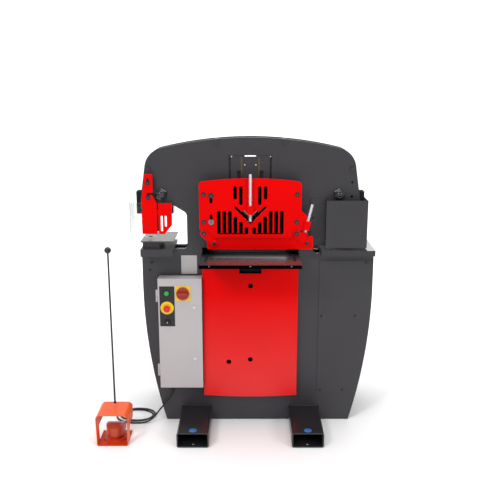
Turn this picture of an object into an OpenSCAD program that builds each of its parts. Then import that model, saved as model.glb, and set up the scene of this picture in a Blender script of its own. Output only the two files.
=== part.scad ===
// Hydraulic ironworker: two tall frame plates stand on two fork tubes, and a beam between the plates
// is drawn down to punch at the left, shear in the middle and notch at the right.
// +Z is up and the operator stands on the -Y side. The origin is on the floor, at the middle of the
// four anchor holes. All lengths are in millimetres.

/* [Frame plates] */
// Height of the crown of the arch above the floor
frame_height = 1437; // [1430:1:1480]
// Thickness of each frame plate
plate_thickness = 25.4; // [22:0.1:30]
// Space between the two frame plates
plate_gap = 63.5; // [60:0.5:70]
// Radius of the crown of the arch
crown_radius = 1830; // [1700:10:2000]
// Radius of the two upper corners of the arch
corner_radius = 100; // [80:1:110]
// Half width of the arch where its leaning sides start
arch_half_width = 498; // [495:1:510]
// Height at which that half width is taken
arch_width_height = 1321; // [1310:1:1330]
// Lean of the sides of the arch, in degrees
arch_flare = 8.5; // [7:0.5:10]
// Height of the underside of the arch above the throats
throat_top = 1115; // [1110:1:1125]
// Height of the floor of the throats
throat_floor = 901; // [896:1:906]
// Half width of the column between the throats
column_half_width = 305; // [300:1:310]
// Reach of the base to the left of the centre
base_left = 527; // [515:1:540]
// Reach of the base to the right of the centre
base_right = 601; // [590:1:615]
// Radius of the curved flanks of the base
flank_radius = 2650; // [2500:10:3000]
// Height below which the flanks curve inwards
flank_height = 720; // [700:5:740]

/* [Fork tubes] */
// Width of a fork tube
tube_width = 152.4; // [140:0.1:170]
// Height of a fork tube
tube_height = 76.2; // [70:0.1:90]
// Wall of a fork tube
tube_wall = 6.35; // [5:0.05:9]
// Length of a fork tube
tube_length = 914.4; // [860:0.1:1000]
// Reach of the tubes in front of the front plate
tube_reach = 292; // [280:1:310]
// Distance between the middles of the tubes
tube_spread = 547; // [530:1:570]
// Diameter of the floor anchor holes
anchor_hole = 17; // [13:0.5:22]
// Distance of the anchor holes from the tube ends
anchor_inset = 25.4; // [22:0.1:40]

/* [Base cabinet] */
// Thickness of the cabinet sheet
skin_thickness = 3; // [2:0.5:4]
// Distance from the front plate to the back of the cabinet
cabinet_depth = 400; // [380:5:430]
// Height of the top of the cabinet
cabinet_top = 828; // [815:1:840]

/* [Press beam] */
// Stroke of the beam
beam_stroke = 32; // [25:1:36]
// Half length of the beam
beam_half_length = 548; // [540:1:550]
// Height of the top of the beam at its ends
beam_top = 1178; // [1172:1:1184]
// Half width of the guide bar in the plate window
guide_half_width = 38; // [34:0.5:42]
// Radius of the hydraulic cylinder
cylinder_radius = 92; // [80:1:94]
// Radius of the piston rod
rod_radius = 25; // [20:1:28]

/* [Shear] */
// Height of the shear table
table_height = 887.5; // [882:0.5:890]
// Width of the shear table
table_width = 466; // [450:1:480]
// Reach of the shear table in front of the plate
table_reach = 260; // [240:1:275]
// Width of the flat bar blades
blade_width = 350; // [330:1:356]
// Height of the lower point of the angle opening
angle_point = 1040; // [1030:1:1045]
// Distance of the guard from the front plate
guard_standoff = 69; // [60:1:80]
// Thickness of the guard plate
guard_thickness = 6; // [5:0.5:8]
// Half width of the guard plate
guard_half_width = 240; // [238:1:244]
// Height of the middle of the upper edge of the guard
guard_top = 1255; // [1245:1:1265]
// Radius of the hold down screws
hold_screw_radius = 8; // [6:0.5:9]

/* [Hold down linkage] */
// Distance between the two pivots of a link
link_length = 66; // [60:1:72]
// Slope of the links below level at rest, in degrees
link_slope = 43.5; // [40:0.5:47]
// Half distance between the upper pivots
pivot_half_spread = 219; // [216:1:221]
// Height of the upper pivots
pivot_height = 994; // [990:1:998]
// Height of the hold down bar
bar_height = 63; // [55:1:66]
// Length of the hold down bar
bar_length = 502; // [490:1:510]

/* [Punch and notch stations] */
// Distance of the punch from the centre
punch_offset = 490; // [480:1:494]
// Radius of the punch
punch_radius = 12; // [6:0.5:14]
// Height of the top of the punching die
die_height = 952; // [948:1:956]
// Height of the notching table
notch_table_height = 906; // [903:1:910]
// Thickness of the notching table
notch_table_thickness = 28; // [24:0.5:32]

/* [Control box] */
// Width of the control box
box_width = 212; // [200:1:214]
// Height of the control box
box_height = 565; // [540:1:580]
// Depth of the body of the control box
box_depth = 70; // [60:1:72]
// Depth of the door of the control box
box_door_depth = 16; // [14:0.5:20]
// Reach of the box door in front of the front plate
box_reach = 58; // [50:1:66]

/* [Foot switch] */
// Greatest width of the hood of the foot switch
hood_width = 153; // [148:1:170]
// Height of the hood
hood_height = 158; // [150:1:166]
// Depth of the hood
hood_depth = 150; // [140:1:160]
// Height of the ball of the carrying handle
handle_height = 928; // [700:1:1000]
// Diameter of the cord
cord_diameter = 8.5; // [7:0.1:9]

/* [Hidden] */
$fn = 48;

// Colours
charcoal = [0.22, 0.21, 0.23];
guard_red = [0.90, 0.02, 0.02];
box_grey = [0.68, 0.67, 0.67];
bright_steel = [0.72, 0.72, 0.70];
black_steel = [0.10, 0.10, 0.11];
blade_steel = [0.45, 0.45, 0.47];
brass_yellow = [0.72, 0.55, 0.25];
hood_orange = [0.95, 0.36, 0.16];

// One overrun for every cut, the gap that keeps moving pieces apart and the radial running fit
overrun = 5;
clear_gap = 0.3;
run_fit = 0.05;

// Planes from front to back
plate_y = tube_reach - tube_length / 2;
plate_back = plate_y + plate_thickness;
rear_y = plate_back + plate_gap;
rear_back = rear_y + plate_thickness;
mid_y = plate_back + plate_gap / 2;
cabinet_back = plate_y + cabinet_depth;
guard_back = plate_y - guard_standoff;
guard_y = guard_back - guard_thickness;

// Frame outline
floor_gap = 2;
throat_fillet = 20;
knee_height = 1062;
knee_radius = 29;
throat_slope = 30.5;
notch_floor = notch_table_height - notch_table_thickness;
flank_steps = 14;
corner_steps = 10;
crown_steps = 22;
fillet_steps = 6;

function arc(c, r, a, b, n) =
    [for (i = [0 : n]) [c.x + r * cos(a + (b - a) * i / n), c.y + r * sin(a + (b - a) * i / n)]];
function flipped(p) = [for (i = [len(p) - 1 : -1 : 0]) [-p[i].x, p[i].y]];
function corner(a, b, c, r, n) = let (u = unit(a - b), v = unit(c - b), half = acos(u * v) / 2,
    o = b + unit(u + v) * r / sin(half), s = b + u * r / tan(half) - o, e = b + v * r / tan(half) - o,
    from = atan2(s.y, s.x), turn = (atan2(e.y, e.x) - from + 540) % 360 - 180) arc(o, r, from, from + turn, n);
function rounded(p, r, n) = [for (i = [0 : len(p) - 1])
    each corner(p[(i + len(p) - 1) % len(p)], p[i], p[(i + 1) % len(p)], r, n)];
function unit(v) = v / norm(v);
function arch_half(z) = arch_half_width + (arch_width_height - z) * tan(arch_flare);

crown_centre = [0, frame_height - crown_radius];
corner_start = [arch_half_width - corner_radius * cos(arch_flare),
                arch_width_height - corner_radius * sin(arch_flare)];
corner_run = [-sin(arch_flare), cos(arch_flare)];
corner_from_crown = corner_start - crown_centre;
corner_along = corner_from_crown * corner_run;
corner_rest = corner_from_crown * corner_from_crown - pow(crown_radius - corner_radius, 2);
corner_centre = corner_start + corner_run * (sqrt(corner_along * corner_along - corner_rest) - corner_along);
crown_angle = atan2(corner_centre.y - crown_centre.y, corner_centre.x);
knee_end = [column_half_width + knee_radius - knee_radius * sin(throat_slope),
            knee_height + knee_radius * cos(throat_slope)];

function flank(reach) =
    arc([reach - flank_radius, flank_height], flank_radius,
        -asin((flank_height - floor_gap) / flank_radius), 0, flank_steps);
function frame_side(reach, floor_height) = concat(
    flank(reach),
    [[reach, floor_height]],
    arc([column_half_width + throat_fillet, floor_height + throat_fillet], throat_fillet, 270, 180,
        fillet_steps),
    arc([column_half_width + knee_radius, knee_height], knee_radius, 180, 90 + throat_slope, fillet_steps),
    [[knee_end.x + (throat_top - knee_end.y) / tan(throat_slope), throat_top],
     [arch_half(throat_top), throat_top]],
    arc(corner_centre, corner_radius, arch_flare, crown_angle, corner_steps));

module frame_outline(inset) {
    crown = arc(crown_centre, crown_radius, crown_angle, 180 - crown_angle, crown_steps);
    polygon(concat(frame_side(base_right - inset, notch_floor),
                   [for (i = [1 : crown_steps - 1]) crown[i]],
                   flipped(frame_side(base_left - inset, throat_floor))));
}

module base_outline(inset, top) {
    polygon(concat(flank(base_right - inset), [[base_right - inset, top]],
                   flipped(concat(flank(base_left - inset), [[base_left - inset, top]]))));
}

// Shared shapes
module plate_at(y, thickness) {
    translate([0, y + thickness, 0]) rotate([90, 0, 0]) linear_extrude(thickness) children();
}
module along_y(x, z, y, length, r) {
    translate([x, y, z]) rotate([-90, 0, 0]) cylinder(h = length, r = r);
}
module along_z(x, y, z, length, r) {
    translate([x, y, z]) cylinder(h = length, r = r);
}
module along_x(x, y, z, length, r) {
    translate([x, y, z]) rotate([0, 90, 0]) cylinder(h = length, r = r);
}
module block(low, high) {
    translate(low) cube(high - low);
}
module rounded_square(low, high, r) {
    translate(low + [r, 0]) square([high.x - low.x - 2 * r, high.y - low.y]);
    translate(low + [0, r]) square([high.x - low.x, high.y - low.y - 2 * r]);
    for (x = [low.x + r, high.x - r]) for (y = [low.y + r, high.y - r]) translate([x, y]) circle(r);
}
module slot(x, low, high, r) {
    translate([x - r, low]) square([2 * r, high - low]);
    for (z = [low, high]) translate([x, z]) circle(r);
}
head_rim_share = 0.4;
head_crown_share = 0.72;
module bolt_head(x, z, y, r, height) {
    along_y(x, z, y - height * head_rim_share, height * head_rim_share, r);
    along_y(x, z, y - height, height, r * head_crown_share);
}

// Tie bolts round the rim of the arch, at mirrored pairs of places
crown_bolt = [161, 1415];
shoulder_bolt = [484, 1291];
tie_places = [crown_bolt, shoulder_bolt, [-crown_bolt.x, crown_bolt.y], [-shoulder_bolt.x, shoulder_bolt.y]];
tie_radius = 8;
tie_head_radius = 12.5;
tie_head_height = 9;
tie_shoulder_radius = 16;

// Tapped holes for a station guard on either side of the arch
guard_hole_radius = 6;
guard_hole_x = 484;
guard_hole_heights = [1158, 1227];

// Windows in the plates
window_half_width = 102;
window_top = 1354;
window_bottom = 1138;
shear_window_half_width = 180;
shear_window_drop = 42.5;
shear_window_rise = 97.5;
shear_window_bottom = table_height - shear_window_drop;
shear_window_top = table_height + shear_window_rise;
cylinder_top = 640;
cylinder_bottom = 440;
cylinder_window_half_width = 98;
cylinder_window_margin = 6;
tube_slip = 0.5;
angle_arm_length = 110;
angle_arm_width = 12;
angle_root_length = 68;
angle_root_width = 24;
plate_angle_margin = 1;

module angle_opening(margin) {
    for (side = [0, 1]) mirror([side, 0]) translate([0, angle_point - margin * sqrt(2)]) rotate(45) {
        square([angle_arm_length + 2 * margin, angle_arm_width + 2 * margin]);
        square([angle_root_length + 2 * margin, angle_root_width + 2 * margin]);
    }
}
module tube_notches() {
    for (side = [-1, 1])
        translate([side * tube_spread / 2 - tube_width / 2 - tube_slip, -overrun])
            square([tube_width + 2 * tube_slip, tube_height + tube_slip + overrun]);
}
module frame_windows() {
    tube_notches();
    translate([-window_half_width, window_bottom])
        square([2 * window_half_width, window_top - window_bottom]);
    translate([-shear_window_half_width, shear_window_bottom])
        square([2 * shear_window_half_width, shear_window_top - shear_window_bottom]);
    translate([-cylinder_window_half_width, cylinder_bottom - cylinder_window_margin])
        square([2 * cylinder_window_half_width, cylinder_top - cylinder_bottom + 2 * cylinder_window_margin]);
    angle_opening(plate_angle_margin);
    for (p = tie_places) translate(p) circle(tie_radius + clear_gap);
}

// Control box place
box_right = -236;
box_bottom = 202;
box_margin = 4;
box_left = box_right - box_width;
box_top = box_bottom + box_height;
box_door_y = plate_y - box_reach;
box_body_y = box_door_y + box_door_depth + clear_gap;

// Right access opening
access_left = 365;
access_right = 500;
access_bottom = 200;
access_top = 790;

// Guard fixing places
bolt_radius = 6;
bolt_slip = 0.1;
bolt_head_radius = 11;
bolt_head_height = 6.5;
standoff_radius = 11;
guard_bolt_heights = [1049, 1180];
guard_bolt_places = [for (side = [-1, 1]) for (z = guard_bolt_heights) [side * pivot_half_spread, z]];
link_pivots = [[-pivot_half_spread, pivot_height], [pivot_half_spread, pivot_height]];

// Guide adjusters
adjuster_place = [424, 1170];
adjuster_radius = 30;
adjuster_height = 14;
adjuster_nut_radius = 20;
adjuster_nut_height = 10;
adjuster_shank_radius = 16;
adjuster_stud_radius = 11;
adjuster_stud_height = 5;

module front_holes() {
    for (side = [-1, 1]) {
        for (z = guard_hole_heights) translate([side * guard_hole_x, z]) circle(guard_hole_radius + bolt_slip);
        translate([side * adjuster_place.x, adjuster_place.y]) circle(adjuster_shank_radius + bolt_slip);
    }
    for (p = concat(guard_bolt_places, link_pivots)) translate(p) circle(bolt_radius + bolt_slip);
    translate([box_left - box_margin, box_bottom - box_margin])
        square([box_width + 2 * box_margin, box_height + 2 * box_margin]);
    translate([access_left, access_bottom]) square([access_right - access_left, access_top - access_bottom]);
}

module front_frame_plate() color(charcoal) plate_at(plate_y, plate_thickness) difference() {
    frame_outline(0);
    frame_windows();
    front_holes();
}

skin_gap = 0.5;
module rear_frame_plate() color(charcoal) plate_at(rear_y, plate_thickness) difference() {
    frame_outline(skin_thickness + skin_gap);
    frame_windows();
}

// Blocks between the plates: a crosshead over the cylinder, jaw blocks and sill blocks
crosshead_half_width = 195;
crosshead_height = 60;
jaw_block_left = 385;
jaw_block_right = 505;
jaw_block_drop = 11;
jaw_block_height = 90;
sill_block_half_width = 60;
sill_block_bottom = 110;
sill_block_height = 70;
slug_radius = 16;

module frame_blocks() color(black_steel) {
    block([-crosshead_half_width, plate_back, cylinder_top],
          [crosshead_half_width, rear_y, cylinder_top + crosshead_height]);
    for (side = [0, 1]) mirror([side, 0, 0]) difference() {
        z = (side == 0 ? notch_floor : throat_floor) - jaw_block_drop - jaw_block_height;
        block([jaw_block_left, plate_back, z], [jaw_block_right, rear_y, z + jaw_block_height]);
        along_z(punch_offset, mid_y, z - overrun, jaw_block_height + 2 * overrun, slug_radius);
    }
    block([-sill_block_half_width, plate_back, sill_block_bottom],
          [sill_block_half_width, rear_y, sill_block_bottom + sill_block_height]);
}

module tie_bolts() color(black_steel) for (p = tie_places) {
    bolt_head(p.x, p.y, plate_y, tie_head_radius, tie_head_height);
    along_y(p.x, p.y, plate_y, rear_back - plate_y, tie_radius);
    along_y(p.x, p.y, plate_back, plate_gap, tie_shoulder_radius);
    along_y(p.x, p.y, rear_back, tie_head_height, tie_head_radius);
}

// Fork tubes: hollow section with rounded corners, two anchor holes below and two access holes above
tube_corner = 12;
access_hole_radius = 16;
module foot_tube(x) color(black_steel) difference() {
    plate_at(-tube_length / 2, tube_length) difference() {
        translate([x, 0]) rounded_square([-tube_width / 2, 0], [tube_width / 2, tube_height], tube_corner);
        translate([x, 0]) rounded_square([-tube_width / 2 + tube_wall, tube_wall],
                                         [tube_width / 2 - tube_wall, tube_height - tube_wall],
                                         tube_corner - tube_wall);
    }
    for (y = [-tube_length / 2 + anchor_inset, tube_length / 2 - anchor_inset]) {
        along_z(x, y, -overrun, tube_wall + 2 * overrun, anchor_hole / 2);
        along_z(x, y, tube_height - tube_wall - overrun, tube_wall + 2 * overrun, access_hole_radius);
    }
}
module left_foot_tube() foot_tube(-tube_spread / 2);
module right_foot_tube() foot_tube(tube_spread / 2);

// Base cabinet: curved flanks, back wall with an opening, and a top sheet behind the rear plate
rear_opening_half_width = 290;
rear_opening_bottom = 160;
rear_opening_top = 780;
cover_lap = 20;
module base_cabinet() color(charcoal) {
    plate_at(plate_back, cabinet_back - plate_back) difference() {
        base_outline(0, cabinet_top);
        base_outline(skin_thickness, cabinet_top + overrun);
        translate([-base_left, -overrun]) square([base_left + base_right, overrun + floor_gap]);
    }
    plate_at(cabinet_back - skin_thickness, skin_thickness) difference() {
        base_outline(skin_thickness, cabinet_top);
        tube_notches();
        translate([-rear_opening_half_width, rear_opening_bottom])
            square([2 * rear_opening_half_width, rear_opening_top - rear_opening_bottom]);
    }
    block([-base_left + skin_thickness, rear_back, cabinet_top - skin_thickness],
          [base_right - skin_thickness, cabinet_back - skin_thickness, cabinet_top]);
}

// Rear cover with rows of cooling slots
louvre_radius = 4;
louvre_length = 150;
louvre_pitch = 22;
louvre_count = 8;
louvre_bottom = 560;
louvre_offset = 130;
module rear_cover() color(charcoal) plate_at(cabinet_back, skin_thickness) difference() {
    translate([-rear_opening_half_width - cover_lap, rear_opening_bottom - cover_lap])
        square([2 * rear_opening_half_width + 2 * cover_lap,
                rear_opening_top - rear_opening_bottom + 2 * cover_lap]);
    for (side = [-1, 1]) for (i = [0 : louvre_count - 1])
        translate([side * louvre_offset, louvre_bottom + i * louvre_pitch]) rotate(90)
            slot(0, -louvre_length / 2, louvre_length / 2, louvre_radius);
}

// Right access panel: a sheet on the front plate whose outer edge follows the flank
panel_left = 338;
panel_bottom = 145;
panel_drop = 33;
panel_top = notch_floor - panel_drop;
panel_edge = 3;
module right_access_panel() color(charcoal) plate_at(plate_y - skin_thickness, skin_thickness) intersection() {
    base_outline(panel_edge, panel_top);
    translate([panel_left, panel_bottom]) square([base_right - panel_left, panel_top - panel_bottom]);
}

// Front cover: a bowed sheet with side flanges that stand on the front plate
cover_half_width = 232.5;
cover_bottom = 149;
cover_drop = 21.5;
cover_top = table_height - cover_drop;
cover_side_reach = 30;
cover_bow = 18;
cover_hole_radius = 12;
cover_holes = [[1, 728], [-107, 334], [0, 348]];
cover_notch_half_width = 53;
cover_notch_depth = 76;
cover_notch_bottom = cover_top - cover_notch_depth;
module cover_section(inset, back) {
    bow_radius = (cover_half_width * cover_half_width + cover_bow * cover_bow) / (2 * cover_bow);
    front = plate_y - cover_side_reach - cover_bow;
    intersection() {
        translate([0, front + bow_radius]) circle(bow_radius - inset, $fn = 360);
        translate([-cover_half_width + inset, front])
            square([2 * cover_half_width - 2 * inset, cover_side_reach + cover_bow + back]);
    }
}
module front_cover() color(guard_red) difference() {
    translate([0, 0, cover_bottom]) linear_extrude(cover_top - cover_bottom) difference() {
        cover_section(0, 0);
        cover_section(skin_thickness, overrun);
    }
    for (p = cover_holes)
        along_y(p.x, p.y, plate_y - cover_side_reach - cover_bow - overrun,
                cover_bow + cover_side_reach, cover_hole_radius);
    block([-cover_notch_half_width, plate_y - cover_side_reach - cover_bow - overrun, cover_notch_bottom],
          [cover_notch_half_width, plate_y, cover_top + overrun]);
}

// Shear table: a shelf with a front lip, a line across it, two stop grooves and two ears
table_thickness = 8;
table_lip = 18;
table_slot_inset = 28;
table_slot_half_spread = table_width / 2 - table_slot_inset;
table_slot_radius = 6;
table_slot_end = 68;
table_line_inset = 35;
table_line_width = 2;
table_line_depth = 1.5;
table_slot_front = table_reach - table_slot_end;
table_slot_back = 40;
table_rail_width = 24;
table_rail_height = 10;
table_ear_width = 45;
table_ear_height = 20;
module shear_table() color(charcoal) {
    difference() {
        translate([-table_width / 2, plate_y - table_reach, table_height - table_thickness])
            cube([table_width, table_reach, table_thickness]);
        translate([0, 0, table_height - table_thickness]) linear_extrude(table_thickness + overrun)
            for (side = [-1, 1])
                slot(side * table_slot_half_spread, plate_y - table_slot_front, plate_y - table_slot_back,
                     table_slot_radius);
        translate([-table_width, plate_y - table_reach + table_line_inset, table_height - table_line_depth])
            cube([2 * table_width, table_line_width, table_line_depth + overrun]);
    }
    for (side = [-1, 1])
        block([side * table_slot_half_spread - table_rail_width / 2, plate_y - table_reach + table_thickness,
               table_height - table_thickness - table_rail_height],
              [side * table_slot_half_spread + table_rail_width / 2, plate_y, table_height - table_thickness]);
    translate([-table_width / 2, plate_y - table_reach, table_height - table_lip])
        cube([table_width, table_thickness, table_lip - table_thickness]);
    for (side = [0, 1]) mirror([side, 0, 0])
        block([table_width / 2 - table_ear_width, plate_y - table_thickness, table_height],
              [table_width / 2, plate_y, table_height + table_ear_height]);
}

// Flat bar blades: the lower one sits in the front plate, the upper one passes just behind it
blade_rake = 14;
blade_seat = 2;
blade_opening = 27.5;
upper_blade_bottom = table_height + blade_opening;
upper_blade_thickness = 20;
module lower_shear_blade() color(blade_steel)
    block([-blade_width / 2, plate_y + blade_seat, shear_window_bottom],
          [blade_width / 2, plate_back, table_height]);
module upper_shear_blade() color(blade_steel) plate_at(plate_back + clear_gap, upper_blade_thickness)
    polygon([[-blade_width / 2, upper_blade_bottom], [blade_width / 2, upper_blade_bottom + blade_rake],
             [blade_width / 2, shear_window_top], [-blade_width / 2, shear_window_top]]);

// Shear guard: slotted plate with a comb, an angle opening, screw slots, clearance for the links
// and two welded nuts
guard_corner = 19;
guard_drop = 14;
guard_bottom = 972;
guard_lobe_reach = 265;
guard_lobe_top = 1102;
guard_lobe_shoulder = 1079;
guard_lobe_bottom = 1009;
link_radius = 18.5;
link_gap = 1.5;
notch_width = 19;
vent_radius = 8.4;
vent_top = 1210;
vent_places = [[44, 1138], [71, 1164]];
comb_pitch = 26;
comb_first = 18;
comb_radius = 8.8;
comb_bottom = 990;
comb_slit = 6;
comb_tops = [1015, 1041, 1067, 1094, 1094, 1094];
slot_screw_x = -184;
slot_screw_radius = 6.5;
slot_screw_slip = 0.5;
upper_slot_height = 1174;
lower_slot_height = 1049;
slot_travel = 30;
nut_size = 28;
nut_height = 42;
centre_nut_height = 1109;
centre_screw_y = guard_y - nut_size / 2;
side_tip = [259, 1001];
side_tilt = 13.6;
side_screw_y = guard_y + guard_thickness / 2;
side_nut_offset = 32;

module guard_outline() {
    top_half = guard_half_width - guard_corner;
    top_radius = (top_half * top_half + guard_drop * guard_drop) / (2 * guard_drop);
    top_angle = asin(top_half / top_radius);
    corner_height = guard_top - guard_drop - guard_corner;
    polygon(concat(
        [[-guard_half_width, guard_bottom],
         [guard_lobe_reach, guard_bottom], [guard_lobe_reach, guard_lobe_shoulder],
         [guard_half_width, guard_lobe_top]],
        arc([guard_half_width - guard_corner, corner_height], guard_corner, 0, 90, fillet_steps),
        [for (i = [1 : crown_steps - 1])
            let (a = 90 - top_angle + 2 * top_angle * i / crown_steps)
            [top_radius * cos(a), guard_top - top_radius + top_radius * sin(a)]],
        arc([-guard_half_width + guard_corner, corner_height], guard_corner, 90, 180, fillet_steps)));
}
module guard_cuts() {
    keep_out = link_radius + link_gap;
    angle_opening(0);
    for (side = [0, 1]) mirror([side, 0]) {
        for (p = vent_places) slot(p.x, p.y, vent_top, vent_radius);
        for (i = [0 : len(comb_tops) - 1])
            slot(comb_first + i * comb_pitch, comb_bottom + comb_radius, comb_tops[i], comb_radius);
        translate([comb_first, comb_bottom]) square([(len(comb_tops) - 1) * comb_pitch, comb_slit]);
    }
    for (p = link_pivots) {
        translate(p) circle(keep_out);
        translate(p) rotate(-link_slope) translate([0, -guard_height_span])
            square([guard_height_span, guard_height_span + keep_out]);
    }
    translate([-guard_half_width - overrun, guard_bottom - overrun])
        square([guard_half_width + overrun - pivot_half_spread,
                pivot_height + keep_out - guard_bottom + overrun]);
    translate([pivot_half_spread, guard_bottom - overrun])
        square([guard_lobe_reach, guard_lobe_bottom - guard_bottom + overrun]);
    translate([pivot_half_spread - notch_width, guard_bottom - overrun])
        square([notch_width, pivot_height - guard_bottom + overrun]);
    for (p = guard_bolt_places) translate(p) circle(bolt_radius + bolt_slip);
    slot(slot_screw_x, upper_slot_height - slot_travel, upper_slot_height, slot_screw_radius + slot_screw_slip);
    slot(slot_screw_x, lower_slot_height, lower_slot_height + slot_travel, slot_screw_radius + slot_screw_slip);
}
guard_height_span = guard_top - guard_bottom;

module side_screw_place()
    translate([side_tip.x, side_screw_y, side_tip.y]) rotate([0, side_tilt, 0]) children();

module shear_guard() color(guard_red) difference() {
    union() {
        plate_at(guard_y, guard_thickness) difference() {
            guard_outline();
            guard_cuts();
        }
        translate([-nut_size / 2, guard_y - nut_size, centre_nut_height - nut_height / 2])
            cube([nut_size, nut_size, nut_height]);
        side_screw_place() translate([-nut_size / 2, -nut_size / 2, side_nut_offset - nut_height / 2])
            cube([nut_size, nut_size, nut_height]);
    }
    along_z(0, centre_screw_y, centre_nut_height - nut_height, 2 * nut_height, hold_screw_radius + run_fit);
    side_screw_place() translate([0, 0, -nut_height])
        cylinder(h = 2 * side_nut_offset + 2 * nut_height, r = hold_screw_radius + run_fit);
}

// Standoffs carry the shear guard, the links and the punch guard
punch_guard_gap = 26;
module tube_along_y(x, z, y, length) difference() {
    along_y(x, z, y, length, standoff_radius);
    along_y(x, z, y - overrun, length + 2 * overrun, bolt_radius + bolt_slip);
}
module guard_standoffs() color(black_steel) {
    for (p = guard_bolt_places) tube_along_y(p.x, p.y, guard_back, guard_standoff);
    for (p = link_pivots) tube_along_y(p.x, p.y, guard_back, guard_standoff);
    for (z = guard_hole_heights)
        tube_along_y(-guard_hole_x, z, plate_y - punch_guard_gap + clear_gap, punch_guard_gap - clear_gap);
}

// Button head bolts through the standoffs
punch_guard_thickness = 5;
punch_guard_y = plate_y - punch_guard_gap - punch_guard_thickness;
module button_bolt(x, z, y) {
    bolt_head(x, z, y, bolt_head_radius, bolt_head_height);
    along_y(x, z, y, plate_back - y, bolt_radius);
}
module button_bolts() color(black_steel) {
    for (p = concat(guard_bolt_places, link_pivots)) button_bolt(p.x, p.y, guard_y);
    for (z = guard_hole_heights) button_bolt(-guard_hole_x, z, punch_guard_y - clear_gap);
}

// Clamp screws in the two upright slots at the left of the guard
slot_head_radius = 13;
slot_head_height = 9;
slot_plate_half_width = 13;
slot_plate_thickness = 5;
module slot_screw(z) color(blade_steel) {
    bolt_head(slot_screw_x, z, guard_y - clear_gap, slot_head_radius, slot_head_height);
    along_y(slot_screw_x, z, guard_y - clear_gap, guard_thickness + 2 * clear_gap, slot_screw_radius);
    translate([slot_screw_x - slot_plate_half_width, guard_back + clear_gap, z - slot_plate_half_width])
        cube([2 * slot_plate_half_width, slot_plate_thickness, 2 * slot_plate_half_width]);
}
module upper_slot_screw() slot_screw(upper_slot_height);
module lower_slot_screw() slot_screw(lower_slot_height);

// Hold down linkage: two equal links and a bar that stays level as it comes down
link_thickness = guard_thickness - 2 * clear_gap;
link_drop = [link_length * cos(link_slope), -link_length * sin(link_slope)];
bar_gap = 2;
bar_thickness = 8;
bar_y = guard_back + bar_gap;
bar_left_margin = 34;
bar_below_pivot = 33;
bar_corner = 5;
open_pivot_slip = 0.6;
nose_width = 26;
nose_height = 30;
tip_gap = 0.6;

module link(p, with_nose) color(guard_red) {
    low = p + link_drop;
    pin_y = guard_y + clear_gap + link_thickness;
    plate_at(guard_y + clear_gap, link_thickness) difference() {
        union() {
            translate(p) rotate(90 - link_slope) slot(0, -link_length, 0, link_radius);
            if (with_nose) translate(side_tip) rotate(-side_tilt)
                translate([-nose_width / 2, -tip_gap - nose_height]) square([nose_width, nose_height]);
        }
        translate(p) circle(bolt_radius + run_fit);
    }
    bolt_head(low.x, low.y, guard_y + clear_gap, bolt_head_radius, bolt_head_height);
    along_y(low.x, low.y, pin_y, bar_y + bar_thickness - pin_y, bolt_radius);
}
module left_link() link(link_pivots[0], false);
module right_link() link(link_pivots[1], true);
module hold_down_bar() color(guard_red) plate_at(bar_y, bar_thickness) difference() {
    corner = link_pivots[0] + link_drop - [bar_left_margin, bar_below_pivot];
    rounded_square(corner, corner + [bar_length, bar_height], bar_corner);
    translate(link_pivots[0] + link_drop) circle(bolt_radius + run_fit);
    translate(link_pivots[1] + link_drop) circle(bolt_radius + open_pivot_slip);
}

// Hold down screws
centre_screw_bottom = 1054;
centre_screw_length = 222;
side_screw_length = 135;
module centre_hold_screw() color(bright_steel)
    along_z(0, centre_screw_y, centre_screw_bottom, centre_screw_length, hold_screw_radius);
module side_hold_screw() color(bright_steel)
    side_screw_place() cylinder(h = side_screw_length, r = hold_screw_radius);

// Punch guard: front plate with two slots, a wing with two sight slots and a clear side shield
punch_guard_travel = 18;
punch_guard_slot_radius = 6.6;
punch_guard_top = 1269;
punch_guard_bottom = 982;
punch_guard_left = 516;
punch_guard_right = 444;
punch_guard_exit = 12;
punch_guard_neck = 461;
punch_guard_crown = 499;
neck_low = 1180;
neck_nick = 474;
neck_nick_low = 1163;
neck_foot = 1131;
hip_height = 1137;
module punch_guard() color(guard_red) plate_at(punch_guard_y, punch_guard_thickness) difference() {
    polygon([[-punch_guard_left, punch_guard_bottom], [-punch_guard_right, punch_guard_bottom],
             [-punch_guard_right, neck_foot], [-punch_guard_neck, neck_nick_low],
             [-neck_nick, neck_low], [-punch_guard_neck, neck_low],
             [-punch_guard_neck, punch_guard_top], [-punch_guard_crown, punch_guard_top],
             [-punch_guard_left, hip_height]]);
    for (z = guard_hole_heights)
        slot(-guard_hole_x, z, z + punch_guard_travel, punch_guard_slot_radius);
    translate([-guard_hole_x, guard_hole_heights[0] + punch_guard_travel - punch_guard_exit / 2])
        square([punch_guard_left - punch_guard_right, punch_guard_exit]);
}
wing_gap = 7;
wing_width = 64;
wing_top = 1131;
wing_chamfer = [36, 44];
wing_strap = [26, 24];
wing_strap_drop = 30;
wing_strap_thickness = 4;
wing_slot_radius = 4.5;
wing_slots = [[15, 66], [34, 44]];
wing_slot_top = 1066;
module punch_guard_wing() color(guard_red) {
    left = -punch_guard_right + wing_gap;
    right = left + wing_width;
    plate_at(punch_guard_y, punch_guard_thickness) difference() {
        polygon([[left, punch_guard_bottom], [right - wing_chamfer.x, punch_guard_bottom],
                 [right, punch_guard_bottom + wing_chamfer.y], [right, wing_top], [left, wing_top]]);
        for (s = wing_slots) slot(left + s.x, wing_slot_top - s.y, wing_slot_top, wing_slot_radius);
    }
    block([left - wing_gap - wing_strap.x, punch_guard_y + punch_guard_thickness,
           wing_top - wing_strap_drop - wing_strap.y],
          [left + wing_strap.x, punch_guard_y + punch_guard_thickness + wing_strap_thickness,
           wing_top - wing_strap_drop]);
}
shield_thickness = 3;
shield_bottom = 985;
shield_top = 1131;
shield_lap = 14;
shield_bend = 18;
shield_reach = 578;
shield_depth = 120;
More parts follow.
